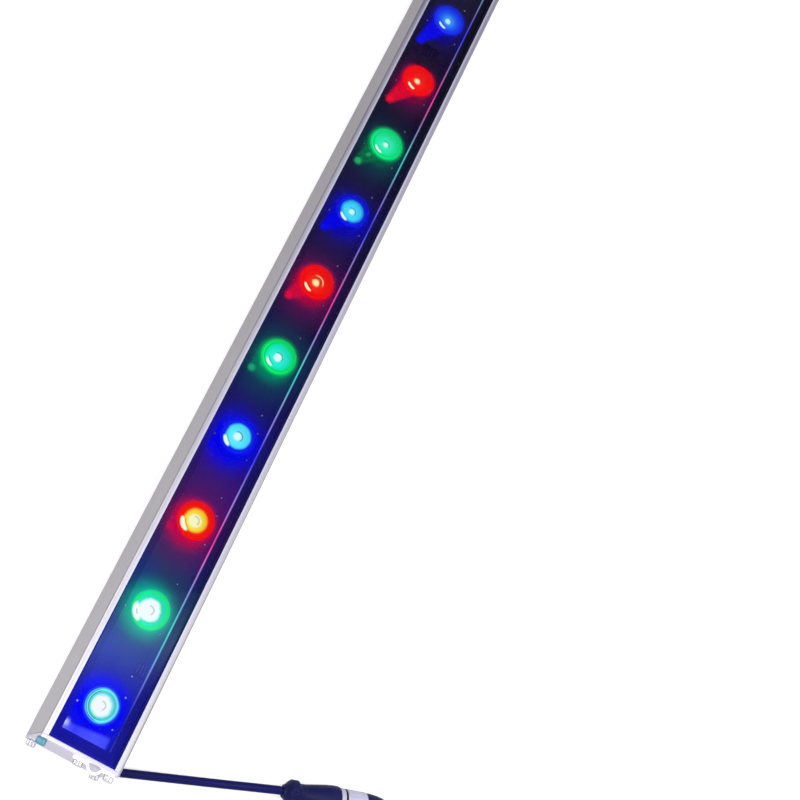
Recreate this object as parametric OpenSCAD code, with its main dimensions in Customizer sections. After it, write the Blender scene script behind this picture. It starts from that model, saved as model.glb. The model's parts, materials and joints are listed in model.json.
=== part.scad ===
// LED strip batten: an extruded wall-washer bar with a row of blue, green and red
// emitters behind glass, a gland and supply cable with a sealed in-line connector,
// and two tilt brackets that slide along a slot in the back of the bar.
// Frame: X runs along the bar (cable end at -X), +Z is the way the light leaves,
// and the origin lies on the mounting plane midway between the two feet.

/* [Bar] */
// Number of emitters in the row
led_count = 18; // [12:6:24]
// Distance from one emitter to the next
led_pitch = 55; // [50:1:60]
// Distance from an end emitter to the end of the extrusion
end_margin = 26; // [26:1:34]
// Width of the extrusion
body_w = 46; // [46:1:50]
// Height of the extrusion
body_h = 46; // [46:1:54]
// Thickness of the side walls beside the light chamber
wall_t = 2; // [1.8:0.1:2.2]
// Width of the rim on each side of the glass
rim_w = 3.7; // [3.5:0.1:4]
// Rounding of the long edges
edge_r = 1.2; // [0.8:0.1:1.6]

/* [Glass] */
// Depth from the rim down to the glass ledge
ledge_depth = 6.5; // [6.3:0.1:7]
// How far each ledge reaches inward from the recess wall
ledge_w = 5.1; // [4.6:0.1:5.6]
// Thickness of the cover glass
glass_t = 4; // [3:0.5:4]
// Width of the black border across each end of the glass
end_border = 7; // [6:0.5:8]

/* [Optics] */
// Outside diameter of a lens holder
lens_d = 21.8; // [20:0.2:22]
// Height of a lens holder above the emitter board
lens_h = 9.6; // [9:0.1:9.8]

/* [End plates] */
// Thickness of an end plate
plate_t = 1.5; // [1.2:0.1:2]
// Thickness of an end gasket
gasket_t = 0.5; // [0.5:0.1:1]

/* [Cable] */
// Outside diameter of the supply cable
cable_d = 5; // [4.8:0.1:5.6]
// Straight run of cable between the first and the second bend
cable_run = 47.5; // [40:0.5:90]
// Direction of the cable over the floor, measured from -Y towards +X
cable_heading = 20; // [10:1:30]

/* [Brackets] */
// Distance from the end of the extrusion to a bracket's centre
bracket_inset = 150; // [120:5:200]
// Gap between the mounting plane and the underside of the bar
base_gap = 40; // [40:1:50]
// Width of the slot opening in the back of the bar
slot_open = 10; // [10:0.1:10.4]
// Length of a bracket foot
foot_l = 64; // [60:1:80]
// Width of a bracket foot
foot_w = 34; // [30:1:36]
// Distance between the two slotted holes of a foot
foot_slot_gap = 44; // [42:1:48]

/* [Hidden] */

body_len = (led_count - 1) * led_pitch + 2 * end_margin;
hl = body_len / 2;
zb = base_gap;
rec_h = body_w / 2 - rim_w;          // half width of the glass recess
tip_h = rec_h - ledge_w;             // half width of the light opening
cav_h = body_w / 2 - wall_t;         // half width of both chambers
ledge_top = body_h - ledge_depth;    // heights below are above the bar's underside
ledge_bot = ledge_top - 2.5;
web_top = body_h - 20;
web_bot = web_top - 2;
floor_t = 2.5;
// back slot
ts_w = 18;
ts_h = 5;
lip_t = 2.2;
ts_wall = 1.6;
ts_roof = lip_t + ts_h;
// screw ports
port_r = 1.35;
port_boss = 3;
port_top = [cav_h - 1.1, ledge_bot];
port_low = [cav_h - 1.8, floor_t + 1.7];
ports = [for (s = [-1, 1], p = [port_top, port_low]) [s * p[0], p[1]]];
// emitters
board_t = 1.6;
board_z = web_top + board_t;
board_end = hl - end_border - 0.5;
function led_x(i) = (i - (led_count - 1) / 2) * led_pitch;
screw_bays = [for (i = [0 : led_count - 1]) if (i % 3 == 1) i];
strap_a = [-2.7, ledge_bot - 3.5];
strap_b = [-port_top[0], port_top[1]];
strap_l = norm(strap_b - strap_a);
strap_turn = -asin((strap_b[1] - strap_a[1]) / strap_l);
strap_t = 1;
feed_x = led_x(0) + 24.5;
feed_y = [for (i = [0 : 3]) -15.4 + 1.9 * i];
// driver
drv_z = 11.5;
drv_x0 = -hl + 45.5;
drv_l = 188;
// cable
cr = cable_d / 2;
gx = -hl + 13.8;
drop_r = 18;
gland_top = 14;
function turn(a, R, roll) = [0, R, a, roll];
function run(l) = [l, 0, 0, 0];
rise_a = 16;
conn_r = 8.4;
rise_R = (conn_r - cr) / (2 * (1 - cos(rise_a)));
path = [
  run(gland_top + zb - cr - drop_r),
  turn(90, drop_r, 0),
  turn(cable_heading + 16, 39.5, -90),
  run(cable_run),
  turn(rise_a, rise_R, 0),
  turn(rise_a, rise_R, 180),
  turn(4, 60, 90),
  run(16)];

// ---------------------------------------------------------------- helpers
module along_bar(len, cx = 0) {
  translate([cx, 0, zb]) rotate([90, 0, 90]) linear_extrude(height = len, center = true) children();
}
module along_x(len) { rotate([0, 90, 0]) cylinder(r = len[0], h = len[1], $fn = len[2]); }
module rounded_rect(w, h, r) {
  translate([-w / 2 + r, 0]) square([w - 2 * r, h]);
  translate([-w / 2, r]) square([w, h - 2 * r]);
  for (x = [-w / 2 + r, w / 2 - r], y = [r, h - r]) translate([x, y]) circle(r = r, $fn = 32);
}
// steps from one path segment to the next, with the path's own frame
module step(s) {
  if (s[1] == 0) translate([0, 0, s[0]]) children();
  else rotate([0, 0, s[3]]) translate([s[1] * (1 - cos(s[2])), 0, s[1] * sin(s[2])])
    rotate([0, s[2], 0]) rotate([0, 0, -s[3]]) children();
}
// the same steps as a list of frames [position, x axis, z axis], for one smooth tube
function spin(v, k, a) = v * cos(a) + cross(k, v) * sin(a) + k * (k * v) * (1 - cos(a));
function moved(f, s, t) = s[1] == 0 ? [f[0] + f[2] * s[0] * t, f[1], f[2]] :
  let (b = f[1] * cos(s[3]) + cross(f[2], f[1]) * sin(s[3]), k = cross(f[2], b), a = s[2] * t)
  [f[0] + f[2] * s[1] * sin(a) + b * s[1] * (1 - cos(a)), spin(f[1], k, a), spin(f[2], k, a)];
function pieces(s) = s[1] == 0 ? 1 : max(2, ceil(s[2] / 7));
function frames(segs, f, i = 0) = i == len(segs) ? [] :
  concat([for (j = [1 : pieces(segs[i])]) moved(f, segs[i], j / pieces(segs[i]))],
         frames(segs, moved(f, segs[i], 1), i + 1));
module tube_along(segs, r, n = 16) {
  start = [[0, 0, 0], [1, 0, 0], [0, 0, 1]];
  fr = concat([start], frames(segs, start));
  m = len(fr);
  polyhedron(
    points = [for (f = fr, j = [0 : n - 1])
      f[0] + r * (f[1] * cos(360 * j / n) + cross(f[2], f[1]) * sin(360 * j / n))],
    faces = concat(
      [[for (j = [0 : n - 1]) j]],
      [for (i = [0 : m - 2], j = [0 : n - 1], h = [0, 1]) let (a = i * n + j, b = i * n + (j + 1) % n)
        h == 0 ? [a, a + n, b] : [b, a + n, b + n]],
      [[for (j = [n - 1 : -1 : 0]) (m - 1) * n + j]]));
}
module walk(segs, i = 0) {
  if (i < len(segs)) step(segs[i]) walk(segs, i + 1) children();
  else children();
}
module cable_frame() {
  translate([gx, 0, zb + gland_top]) rotate([180, 0, 0]) rotate([0, 0, 106]) children();
}
// the connector's own frame: +Z along it, starting where the cable enters
module connector_frame() { cable_frame() walk([for (i = [0 : 6]) path[i]]) children(); }
module socket_screw(len, head_r = 2.75, head_h = 3, r = 1.3) {
  // head outward along +Z from z = 0, shank inward
  difference() {
    union() {
      cylinder(r = head_r, h = head_h - 0.3, $fn = 48);
      translate([0, 0, head_h - 0.3]) cylinder(r1 = head_r, r2 = head_r - 0.3, h = 0.3, $fn = 48);
      translate([0, 0, -len]) cylinder(r = r, h = len + 0.1, $fn = 32);
    }
    translate([0, 0, head_h - 1.6]) cylinder(r = 1.44, h = 2, $fn = 6);
  }
}

// ---------------------------------------------------------------- housing
module ext_profile() {
  difference() {
    union() {
      difference() {
        rounded_rect(body_w, body_h, edge_r);
        translate([-cav_h, web_top]) square([2 * cav_h, ledge_bot - web_top]);
        translate([-cav_h, floor_t]) square([2 * cav_h, web_bot - floor_t]);
        translate([-tip_h, ledge_bot - 1]) square([2 * tip_h, 6]);
      }
      // bosses round the four screw ports
      for (p = ports) translate(p) circle(r = port_boss, $fn = 48);
      // box over the back slot
      translate([-ts_w / 2 - ts_wall, 1]) square([ts_w + 2 * ts_wall, ts_roof + ts_wall - 1]);
      // rails that hold the driver board
      for (s = [-1, 1]) for (z = [drv_z - 1.7, drv_z + board_t + 0.3])
        translate([s > 0 ? cav_h - 1.6 : -cav_h - 0.1, z]) square([1.7, 1.4]);
    }
    // glass recess
    translate([-rec_h, ledge_top]) square([2 * rec_h, ledge_depth + 1]);
    // back slot
    translate([-ts_w / 2, lip_t]) square([ts_w, ts_h]);
    translate([-slot_open / 2, -1]) square([slot_open, lip_t + 1.5]);
    for (p = ports) translate(p) circle(r = port_r, $fn = 32);
  }
}

module housing_extrusion() {
  color([0.78, 0.78, 0.8]) difference() {
    along_bar(body_len) ext_profile();
    // the slot lips are milled away to seat the cable gland
    translate([-hl - 1, -ts_w / 2, zb - 1]) cube([33, ts_w, lip_t + 1.5]);
    translate([gx, 0, zb + ts_roof - 1]) cylinder(r = 6.1, h = 4, $fn = 64);
    // wire slot through the web
    translate([feed_x - 2, -16.8, zb + web_bot - 1]) cube([4, 8.5, 4]);
    for (i = screw_bays, s = [-1, 1])
      translate([led_x(i) + led_pitch / 2, s * 16, zb + web_bot - 1]) cylinder(r = 1.25, h = 4, $fn = 32);
  }
}

module plate_outline(slot) {
  difference() {
    rounded_rect(body_w, body_h, edge_r);
    if (slot) translate([-ts_w / 2, -1]) square([ts_w, ts_roof + 1]);
  }
}
module port_holes(r, x) {
  for (p = ports) translate([x, p[0], zb + p[1]]) rotate([0, 90, 0]) cylinder(r = r, h = 6, center = true, $fn = 32);
}
module strap_hole(r, x) {
  translate([x, strap_a[0], zb + strap_a[1]]) rotate([0, 90, 0]) cylinder(r = r, h = 6, center = true, $fn = 32);
}
module end_plate_cable() {
  color([0.8, 0.79, 0.83]) difference() {
    along_bar(plate_t, -hl - gasket_t - plate_t / 2) plate_outline(false);
    port_holes(1.6, -hl - 1);
    strap_hole(1.6, -hl - 1);
  }
}
module end_plate_far() {
  color([0.8, 0.79, 0.83]) difference() {
    along_bar(plate_t, hl + gasket_t + plate_t / 2) plate_outline(true);
    port_holes(1.6, hl + 1);
  }
}
module gasket(slot) {
  difference() {
    translate([0, 0.2]) rounded_rect(body_w - 0.4, body_h - 0.4, edge_r);
    if (slot) translate([-ts_w / 2 - 0.5, -1]) square([ts_w + 1, ts_roof + 1.5]);
  }
}
module gasket_cable() {
  color([0.72, 0.72, 0.78]) difference() {
    along_bar(gasket_t, -hl - gasket_t / 2) gasket(false);
    port_holes(1.6, -hl);
    strap_hole(3.6, -hl);
  }
}
module gasket_far() {
  color([0.72, 0.72, 0.78]) difference() {
    along_bar(gasket_t, hl + gasket_t / 2) gasket(true);
    port_holes(1.6, hl);
  }
}
module cap_screw_at(p, dir, lift = 0) {
  translate([dir * (hl + gasket_t + plate_t + lift), p[0], zb + p[1]]) rotate([0, dir * 90, 0]) socket_screw(12 + lift);
}
module cap_screws_cable() {
  color([0.86, 0.86, 0.88]) for (p = ports) if (!(p[0] > 0 && p[1] > 10))
    cap_screw_at(p, -1, p == strap_b ? strap_t : 0);
}
module cap_screws_far() { color([0.86, 0.86, 0.88]) for (p = ports) cap_screw_at(p, 1); }
module earth_screw() {
  color([0.35, 0.75, 0.8]) for (p = ports) if (p[0] > 0 && p[1] > 10) cap_screw_at(p, -1);
}

// a bent stainless saddle that takes a safety bond, held by its own
// screw and by the corner cap screw
module safety_strap() {
  xo = -hl - gasket_t - plate_t;
  color([0.9, 0.9, 0.9]) translate([xo, strap_a[0], zb + strap_a[1]]) rotate([strap_turn, 0, 0]) translate([0, 0, -3.2]) difference() {
    linear_extrude(height = 6.4) union() {
      translate([-strap_t, -strap_l / 2 + 3.5]) square([strap_t, strap_l / 2]);
      translate([-strap_t, -strap_l - 2.4]) square([strap_t, strap_l / 2 - 1.2]);
      // raised bridge between the two feet
      translate([0, -strap_l / 2]) intersection() {
        difference() { circle(r = 4.2, $fn = 64); circle(r = 3.2, $fn = 64); }
        translate([-7, -6]) square([6.5, 12]);
      }
    }
    for (y = [0, -strap_l]) translate([-strap_t / 2, y, 3.2]) rotate([0, 90, 0]) cylinder(r = 1.6, h = 6, center = true, $fn = 32);
  }
}
module strap_screw() {
  color([0.86, 0.86, 0.88]) translate([-hl - gasket_t - plate_t - strap_t, strap_a[0], zb + strap_a[1]])
    rotate([0, -90, 0]) socket_screw(6.5, 2.75, 2.6);
}
module strap_nut() {
  color([0.8, 0.8, 0.82]) translate([-hl - gasket_t, strap_a[0], zb + strap_a[1]]) rotate([0, 90, 0]) difference() {
    cylinder(r = 3.18, h = 2.4, $fn = 6);
    translate([0, 0, -1]) cylinder(r = 1.35, h = 5, $fn = 32);
  }
}

// ---------------------------------------------------------------- glass
module cover_glass() {
  w = rec_h - 0.6;
  z0 = ledge_top + 1;
  color([0.5, 0.6, 0.9, 0.35]) along_bar(body_len - 2.2) polygon([
    [-w, z0], [w, z0], [w, z0 + glass_t - 0.4], [w - 0.4, z0 + glass_t],
    [-w + 0.4, z0 + glass_t], [-w, z0 + glass_t - 0.4]]);
}
module glass_seal() {
  l = body_len - 0.2;
  w = rec_h - 0.05;
  color([0.04, 0.04, 0.06]) difference() {
    union() {
      translate([-l / 2, -w, zb + ledge_top + 0.02]) cube([l, 2 * w, glass_t + 0.8]);
      // end blocks that close the light opening under the glass
      for (s = [-1, 1]) translate([s > 0 ? hl - end_border : -hl + 0.1, -tip_h + 0.1, zb + ledge_bot])
        cube([end_border - 0.1, 2 * tip_h - 0.2, 3]);
    }
    translate([-(body_len - 2.1) / 2, -rec_h + 0.55, zb + ledge_top + 0.98]) cube([body_len - 2.1, 2 * rec_h - 1.1, glass_t + 2]);
    translate([-hl + end_border, -tip_h, zb + ledge_bot - 1]) cube([body_len - 2 * end_border, 2 * tip_h, 6]);
  }
}

// ---------------------------------------------------------------- emitters
module led_board(x0, x1) {
  translate([x0, -cav_h + 0.4, zb + web_top]) cube([x1 - x0, 2 * cav_h - 0.8, board_t]);
}
module board_holes() {
  for (i = screw_bays, s = [-1, 1])
    translate([led_x(i) + led_pitch / 2, s * 16, zb + web_top - 1]) cylinder(r = 1.6, h = 4, $fn = 32);
}
module led_board_a() {
  color([0.08, 0.08, 0.2]) difference() {
    led_board(-board_end, -0.4);
    board_holes();
    translate([feed_x - 2, -16.8, zb + web_top - 1]) cube([4, 8.5, 4]);
  }
}
module led_board_b() {
  color([0.08, 0.08, 0.2]) difference() {
    led_board(0.4, board_end);
    board_holes();
  }
}
module board_screws() {
  color([0.75, 0.75, 0.78]) for (i = screw_bays, s = [-1, 1])
    translate([led_x(i) + led_pitch / 2, s * 16, zb + board_z]) difference() {
      union() {
        cylinder(r = 2.6, h = 1.8, $fn = 40);
        translate([0, 0, -3.6]) cylinder(r = 1.2, h = 3.7, $fn = 32);
      }
      translate([-2, -0.3, 1]) cube([4, 0.6, 2]);
      translate([-0.3, -2, 1]) cube([0.6, 4, 2]);
    }
}
// two pin headers with four bridging wires between the boards
module board_link() {
  color([0.1, 0.1, 0.14]) {
    for (s = [-1, 1]) translate([s * 8 - 2.5, -5.5, zb + board_z]) cube([5, 11, 4]);
    for (i = [0 : 3]) translate([-6, -3.9 + 2.6 * i, zb + board_z + 2.6]) along_x([0.6, 12, 24]);
  }
}
module feed_wires() {
  color([0.7, 0.72, 0.8]) for (y = feed_y) {
    translate([feed_x, y, zb + drv_z + board_t]) cylinder(r = 0.75, h = board_z + 2.2 - drv_z - board_t, $fn = 24);
    translate([feed_x, y, zb + board_z + 2.2]) sphere(r = 0.75, $fn = 24);
    translate([feed_x, y, zb + board_z + 2.2]) along_x([0.75, 5, 24]);
    translate([feed_x + 5, y, zb + board_z]) cylinder(r = 0.75, h = 2.2, $fn = 24);
    translate([feed_x + 5, y, zb + board_z + 2.2]) sphere(r = 0.75, $fn = 24);
  }
}
module emitter() {
  translate([0, 0, zb + board_z]) {
    cylinder(r = 4, h = 1.7, $fn = 48);
    translate([0, 0, 1.7]) intersection() { sphere(r = 2.7, $fn = 48); cylinder(r = 3, h = 4, $fn = 48); }
    for (s = [-1, 1]) translate([s * 4.9 - 1.4, -0.8, 0]) cube([2.8, 1.6, 0.5]);
  }
}
module emitters(k) { for (i = [0 : led_count - 1]) if (i % 3 == k) translate([led_x(i), 0, 0]) emitter(); }
module leds_blue() { color([0.3, 0.45, 1]) emitters(0); }
module leds_green() { color([0.3, 1, 0.6]) emitters(1); }
module leds_red() { color([1, 0.3, 0.2]) emitters(2); }

// total-internal-reflection lens: a collimating cone over a pocket for the emitter
module lens() {
  rf = lens_d / 2 - 0.65;
  h = lens_h;
  translate([0, 0, zb + board_z]) rotate_extrude($fn = 64) polygon([
    [0, 5.4], [2.4, 5.1], [3.1, 1.9], [4.4, 1.9], [6.2, 3.6], [7.9, 5.7], [9.2, h - 1.4],
    [rf, h - 1.4], [rf, h - 0.5], [rf - 0.4, h - 0.2], [6.4, h - 0.2], [5.9, h - 0.6], [0, h - 0.6]]);
}
module lenses(k) { for (i = [0 : led_count - 1]) if (i % 3 == k) translate([led_x(i), 0, 0]) lens(); }
module lenses_blue() { color([0.35, 0.65, 1, 0.6]) lenses(0); }
module lenses_green() { color([0.4, 1, 0.7, 0.6]) lenses(1); }
module lenses_red() { color([1, 0.45, 0.3, 0.6]) lenses(2); }
module lens_holders() {
  color([0.12, 0.12, 0.2]) for (i = [0 : led_count - 1]) translate([led_x(i), 0, zb + board_z]) difference() {
    cylinder(r = lens_d / 2, h = lens_h, $fn = 64);
    translate([0, 0, lens_h - 1.45]) cylinder(r = lens_d / 2 - 0.6, h = 3, $fn = 64);
    translate([0, 0, -1]) cylinder(r = lens_d / 2 - 1.4, h = lens_h + 2, $fn = 64);
    for (a = [0, 90]) rotate([0, 0, a]) translate([-12, -3, -1]) cube([24, 6, 3]);
  }
}

// ---------------------------------------------------------------- driver
module driver_board() {
  color([0.1, 0.35, 0.2]) translate([drv_x0, -cav_h + 0.2, zb + drv_z]) cube([drv_l, 2 * cav_h - 0.4, board_t]);
}
module driver_inductors() {
  color([0.25, 0.25, 0.27]) for (i = [0 : 2]) translate([drv_x0 + 60 + 36 * i, -9, zb + drv_z + board_t]) {
    cylinder(r = 6, h = 1.2, $fn = 48);
    cylinder(r = 4.6, h = 7, $fn = 48);
    translate([0, 0, 6]) cylinder(r = 6, h = 1.4, $fn = 48);
  }
}
module driver_capacitors() {
  color([0.2, 0.22, 0.5]) for (p = [[30, 10], [44, 10], [164, 10]])
    translate([drv_x0 + p[0], p[1], zb + drv_z + board_t]) {
      cylinder(r = 4, h = 8.6, $fn = 40);
      translate([0, 0, 8.5]) cylinder(r1 = 4, r2 = 3.5, h = 0.5, $fn = 40);
    }
}
module driver_chips() {
  color([0.07, 0.07, 0.08]) for (i = [0 : 2]) translate([drv_x0 + 76 + 36 * i, 7, zb + drv_z + board_t]) {
    translate([-2.5, -2, 0.2]) cube([5, 4, 1.4]);
    for (k = [0 : 3], s = [-1, 1]) translate([-2.1 + 1.27 * k, s * 2.6 - 0.7, 0]) cube([0.4, 1.4, 0.5]);
  }
}
module terminal_block() {
  color([0.1, 0.5, 0.2]) translate([drv_x0 + 12, -10.2, zb + drv_z + board_t]) difference() {
    cube([8, 20.4, 8.6]);
    for (i = [0 : 3]) {
      translate([-1, 2.55 + 5.1 * i, 3]) rotate([0, 90, 0]) cylinder(r = 1.3, h = 6, $fn = 24);
      translate([4, 2.55 + 5.1 * i, 5]) cylinder(r = 1.5, h = 5, $fn = 24);
    }
  }
}
// four cable cores from the jacket's end to the terminals
module input_wires() {
  starts = [[-1.2, -1.2, 5], [1.2, -1.2, 3.4], [1.2, 1.2, 3.4], [-1.2, 1.2, 5]];
  color([0.75, 0.2, 0.2]) for (i = [0 : 3]) {
    p = starts[i];
    a = [gx + p[0], p[1], zb + gland_top + 0.02];
    b = [a[0], a[1], a[2] + p[2]];
    c = [drv_x0 + 6, -7.65 + 5.1 * i, zb + drv_z + board_t + 3];
    d = c - b;
    translate(a) cylinder(r = 0.6, h = p[2], $fn = 24);
    translate(b) sphere(r = 0.7, $fn = 24);
    translate(b) rotate([0, acos(d[2] / norm(d)), atan2(d[1], d[0])]) cylinder(r = 0.6, h = norm(d), $fn = 24);
    translate(c) sphere(r = 0.7, $fn = 24);
    translate(c) along_x([0.6, 10.8, 24]);
  }
}

// ---------------------------------------------------------------- gland
module at_gland() { translate([gx, 0, zb]) children(); }
module gland_body() {
  color([0.1, 0.1, 0.12]) at_gland() difference() {
    union() {
      translate([0, 0, 2.9]) cylinder(r = 8.6, h = 3.8, $fn = 6);
      translate([0, 0, -2.8]) cylinder(r = 6.4, h = 6, $fn = 64);
      translate([0, 0, 6.6]) cylinder(r = 6.0, h = 6.6, $fn = 64);
    }
    translate([0, 0, 0]) cylinder(r = cr + 0.3, h = 14, $fn = 48);
    translate([0, 0, -3]) cylinder(r = 4.7, h = 3.1, $fn = 48);
  }
}
module gland_oring() {
  color([0.05, 0.05, 0.05]) at_gland() translate([0, 0, 6.72]) difference() {
    cylinder(r = 8, h = 0.46, $fn = 64);
    translate([0, 0, -1]) cylinder(r = 6.15, h = 3, $fn = 64);
  }
}
module gland_locknut() {
  color([0.1, 0.1, 0.12]) at_gland() translate([0, 0, ts_roof + ts_wall]) difference() {
    cylinder(r = 9, h = 3.4, $fn = 6);
    translate([0, 0, -1]) cylinder(r = 6.05, h = 6, $fn = 64);
  }
}
module gland_seal() {
  color([0.15, 0.15, 0.15]) at_gland() translate([0, 0, -6.3]) difference() {
    cylinder(r = 4.62, h = 6.2, $fn = 48);
    translate([0, 0, -1]) cylinder(r = cr + 0.04, h = 9, $fn = 48);
  }
}
module gland_nut() {
  color([0.1, 0.1, 0.12]) at_gland() difference() {
    union() {
      translate([0, 0, -6.5]) cylinder(r = 8.5, h = 9.2, $fn = 6);
      translate([0, 0, -6.5]) rotate([180, 0, 0]) rotate_extrude($fn = 64)
        polygon([[0, 0], [7.2, 0], [7.2, 0.8], [6.6, 2.2], [5.6, 3.4], [4.4, 4.2], [0, 4.2]]);
    }
    translate([0, 0, -2.9]) cylinder(r = 6.45, h = 8, $fn = 64);
    translate([0, 0, -6.4]) cylinder(r = 4.7, h = 4, $fn = 48);
    translate([0, 0, -12]) cylinder(r = cr + 0.15, h = 12, $fn = 48);
  }
}

// ---------------------------------------------------------------- cable and connector
module supply_cable() { color([0.07, 0.08, 0.2]) cable_frame() tube_along(path, cr, 20); }
module connector_boot_nut() {
  // flared compression nut with grip flutes
  color([0.06, 0.07, 0.16]) connector_frame() difference() {
    rotate_extrude($fn = 72) polygon([
      [cr + 0.1, 0], [3.7, 0], [4.3, 1.2], [6.4, 3.2], [7.3, 4.6], [7.3, 8.4], [6.2, 9.6],
      [5.9, 10.2], [5.9, 13], [4.75, 13], [4.75, 6], [cr + 0.1, 6]]);
    for (a = [0 : 30 : 330]) rotate([0, 0, a]) translate([7.5, 0, 4]) cylinder(r = 0.7, h = 5, $fn = 24);
  }
}
module connector_body() {
  color([0.06, 0.07, 0.16]) connector_frame() difference() {
    rotate_extrude($fn = 72) polygon([
      [0, 6.2], [4.65, 6.2], [4.65, 13.1], [5.9, 13.1], [6.2, 15], [7.0, 20], [7.9, 26], [conn_r - 0.05, 30],
      [conn_r - 0.05, 33.6], [7.9, 34.6], [6.55, 34.6], [6.55, 44], [6.1, 44.4], [0, 44.4]]);
    // cable entry and the shell round the insert
    translate([0, 0, 5]) cylinder(r = cr + 0.04, h = 15.2, $fn = 48);
    translate([0, 0, 31]) cylinder(r = 5.4, h = 14, $fn = 64);
    // flats for the fingers
    for (s = [-1, 1]) translate([-12, s * 8.8 - 0.7, 21]) cube([24, 1.4, 9]);
  }
}
module connector_insert() {
  color([0.12, 0.12, 0.14]) connector_frame() difference() {
    translate([0, 0, 31]) cylinder(r = 5.35, h = 8, $fn = 64);
    for (a = [45 : 90 : 315]) rotate([0, 0, a]) translate([2.7, 0, 30]) cylinder(r = 0.56, h = 10, $fn = 24);
  }
}
module contact_pins() {
  color([0.8, 0.65, 0.3]) connector_frame() for (a = [45 : 90 : 315]) rotate([0, 0, a]) translate([2.7, 0, 31.5]) {
    cylinder(r = 0.5, h = 11.6, $fn = 24);
    translate([0, 0, 11.6]) sphere(r = 0.5, $fn = 24);
  }
}
module coupling_ring() {
  color([0.72, 0.7, 0.78]) connector_frame() difference() {
    rotate_extrude($fn = 72) polygon([
      [6.62, 34.75], [7.5, 34.75], [7.8, 35.1], [7.8, 37.4], [7.1, 37.6], [7.1, 38.8], [7.8, 39],
      [7.8, 51.2], [7.4, 51.6], [6.62, 51.6]]);
    // shallow grip flutes
    for (a = [0 : 20 : 340]) rotate([0, 0, a]) translate([8.05, 0, 40.5]) cylinder(r = 0.4, h = 9.5, $fn = 24);
  }
}
module ring_oring() {
  color([0.04, 0.04, 0.05]) connector_frame() translate([0, 0, 38.2]) difference() {
    cylinder(r = 7.75, h = 0.9, center = true, $fn = 72);
    cylinder(r = 7.14, h = 3, center = true, $fn = 72);
  }
}
module dust_cap() {
  color([0.06, 0.07, 0.16]) connector_frame() difference() {
    rotate_extrude($fn = 72) polygon([
      [0, 45.2], [6.3, 45.2], [6.5, 45.6], [6.5, 51.8], [7.6, 51.8], [7.6, 54], [7.2, 58.5], [6.3, 62.5],
      [5.0, 65.4], [3.2, 67.4], [1.4, 68.2], [0, 68.3]]);
    // pocket that clears the pins
    translate([0, 0, 45]) cylinder(r = 5, h = 6, $fn = 48);
  }
}

// ---------------------------------------------------------------- brackets
bx = hl - bracket_inset;
pz = zb - 20;                   // pivot height
ear_in = 3.9;
ear_t = 5;
module slider() {
  difference() {
    union() {
      // tee bar in the back slot
      translate([-30, -ts_w / 2 + 0.2, zb + lip_t + 0.2]) cube([60, ts_w - 0.4, ts_h - 0.6]);
      translate([-30, -slot_open / 2 + 0.2, zb - 0.4]) cube([60, slot_open - 0.4, lip_t + 1]);
      // bridge under the bar
      translate([-9, -10, zb - 5.5]) cube([18, 20, 5.1]);
      // two ears down to the pivot
      for (s = [-1, 1]) translate([s > 0 ? ear_in : -ear_in - ear_t, 0, 0]) {
        translate([0, -9, pz]) cube([ear_t, 18, zb - 5 - pz]);
        translate([0, 0, pz]) along_x([9, ear_t, 64]);
      }
    }
    translate([-20, 0, pz]) along_x([3.05, 40, 64]);
    for (s = [-1, 1]) translate([s * 20, 0, zb - 2]) cylinder(r = 2.5, h = 12, $fn = 48);
  }
}
module lock_screws() {
  for (s = [-1, 1]) translate([s * 20, 0, zb + 1]) difference() {
    cylinder(r = 2.45, h = ts_roof - 1.05, $fn = 48);
    translate([0, 0, -1]) cylinder(r = 1.44, h = 3.5, $fn = 6);
  }
}
module foot() {
  difference() {
    union() {
      // plate with rounded corners
      linear_extrude(height = 3) translate([0, -foot_w / 2]) rounded_rect(foot_l, foot_w, 5);
      // lug up to the pivot
      translate([-3, -12, 2]) cube([6, 24, 4]);
      translate([-3, 0, 0]) rotate([90, 0, 90]) linear_extrude(height = 6)
        polygon([[-12, 5.9], [12, 5.9], [9.6, pz], [-9.6, pz]]);
      translate([-3, 0, pz]) along_x([9.6, 6, 64]);
    }
    translate([-10, 0, pz]) along_x([3.05, 20, 64]);
    for (s = [-1, 1]) translate([s * foot_slot_gap / 2, 0, -1]) {
      translate([-2.75, -3.25, 0]) cube([5.5, 6.5, 6]);
      for (k = [-1, 1]) translate([k * 2.75, 0, 0]) cylinder(r = 3.25, h = 6, $fn = 48);
    }
  }
}
module pivot_bolt() {
  translate([-8.9 - 6, 0, pz]) difference() {
    union() {
      along_x([5, 6, 64]);
      along_x([3, 31, 48]);
    }
    translate([-1, 0, 0]) along_x([2.88, 4, 6]);
  }
}
module pivot_nut() {
  translate([9, 0, pz]) difference() {
    union() {
      along_x([5.77, 5, 6]);
      translate([4.9, 0, 0]) along_x([4.4, 1.6, 48]);
    }
    translate([-1, 0, 0]) along_x([3.03, 10, 48]);
  }
}
module pivot_washers() {
  for (x = [-3.85, 3.05]) translate([x, 0, pz]) difference() {
    along_x([6.5, 0.8, 64]);
    translate([-1, 0, 0]) along_x([3.06, 3, 48]);
  }
}
module slider_near() { color([0.6, 0.6, 0.62]) translate([-bx, 0, 0]) slider(); }
module slider_far() { color([0.6, 0.6, 0.62]) translate([bx, 0, 0]) slider(); }
module lock_screws_near() { color([0.2, 0.2, 0.22]) translate([-bx, 0, 0]) lock_screws(); }
module lock_screws_far() { color([0.2, 0.2, 0.22]) translate([bx, 0, 0]) lock_screws(); }
module foot_near() { color([0.7, 0.7, 0.72]) translate([-bx, 0, 0]) foot(); }
module foot_far() { color([0.7, 0.7, 0.72]) translate([bx, 0, 0]) foot(); }
module pivot_bolt_near() { color([0.8, 0.8, 0.82]) translate([-bx, 0, 0]) pivot_bolt(); }
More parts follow.
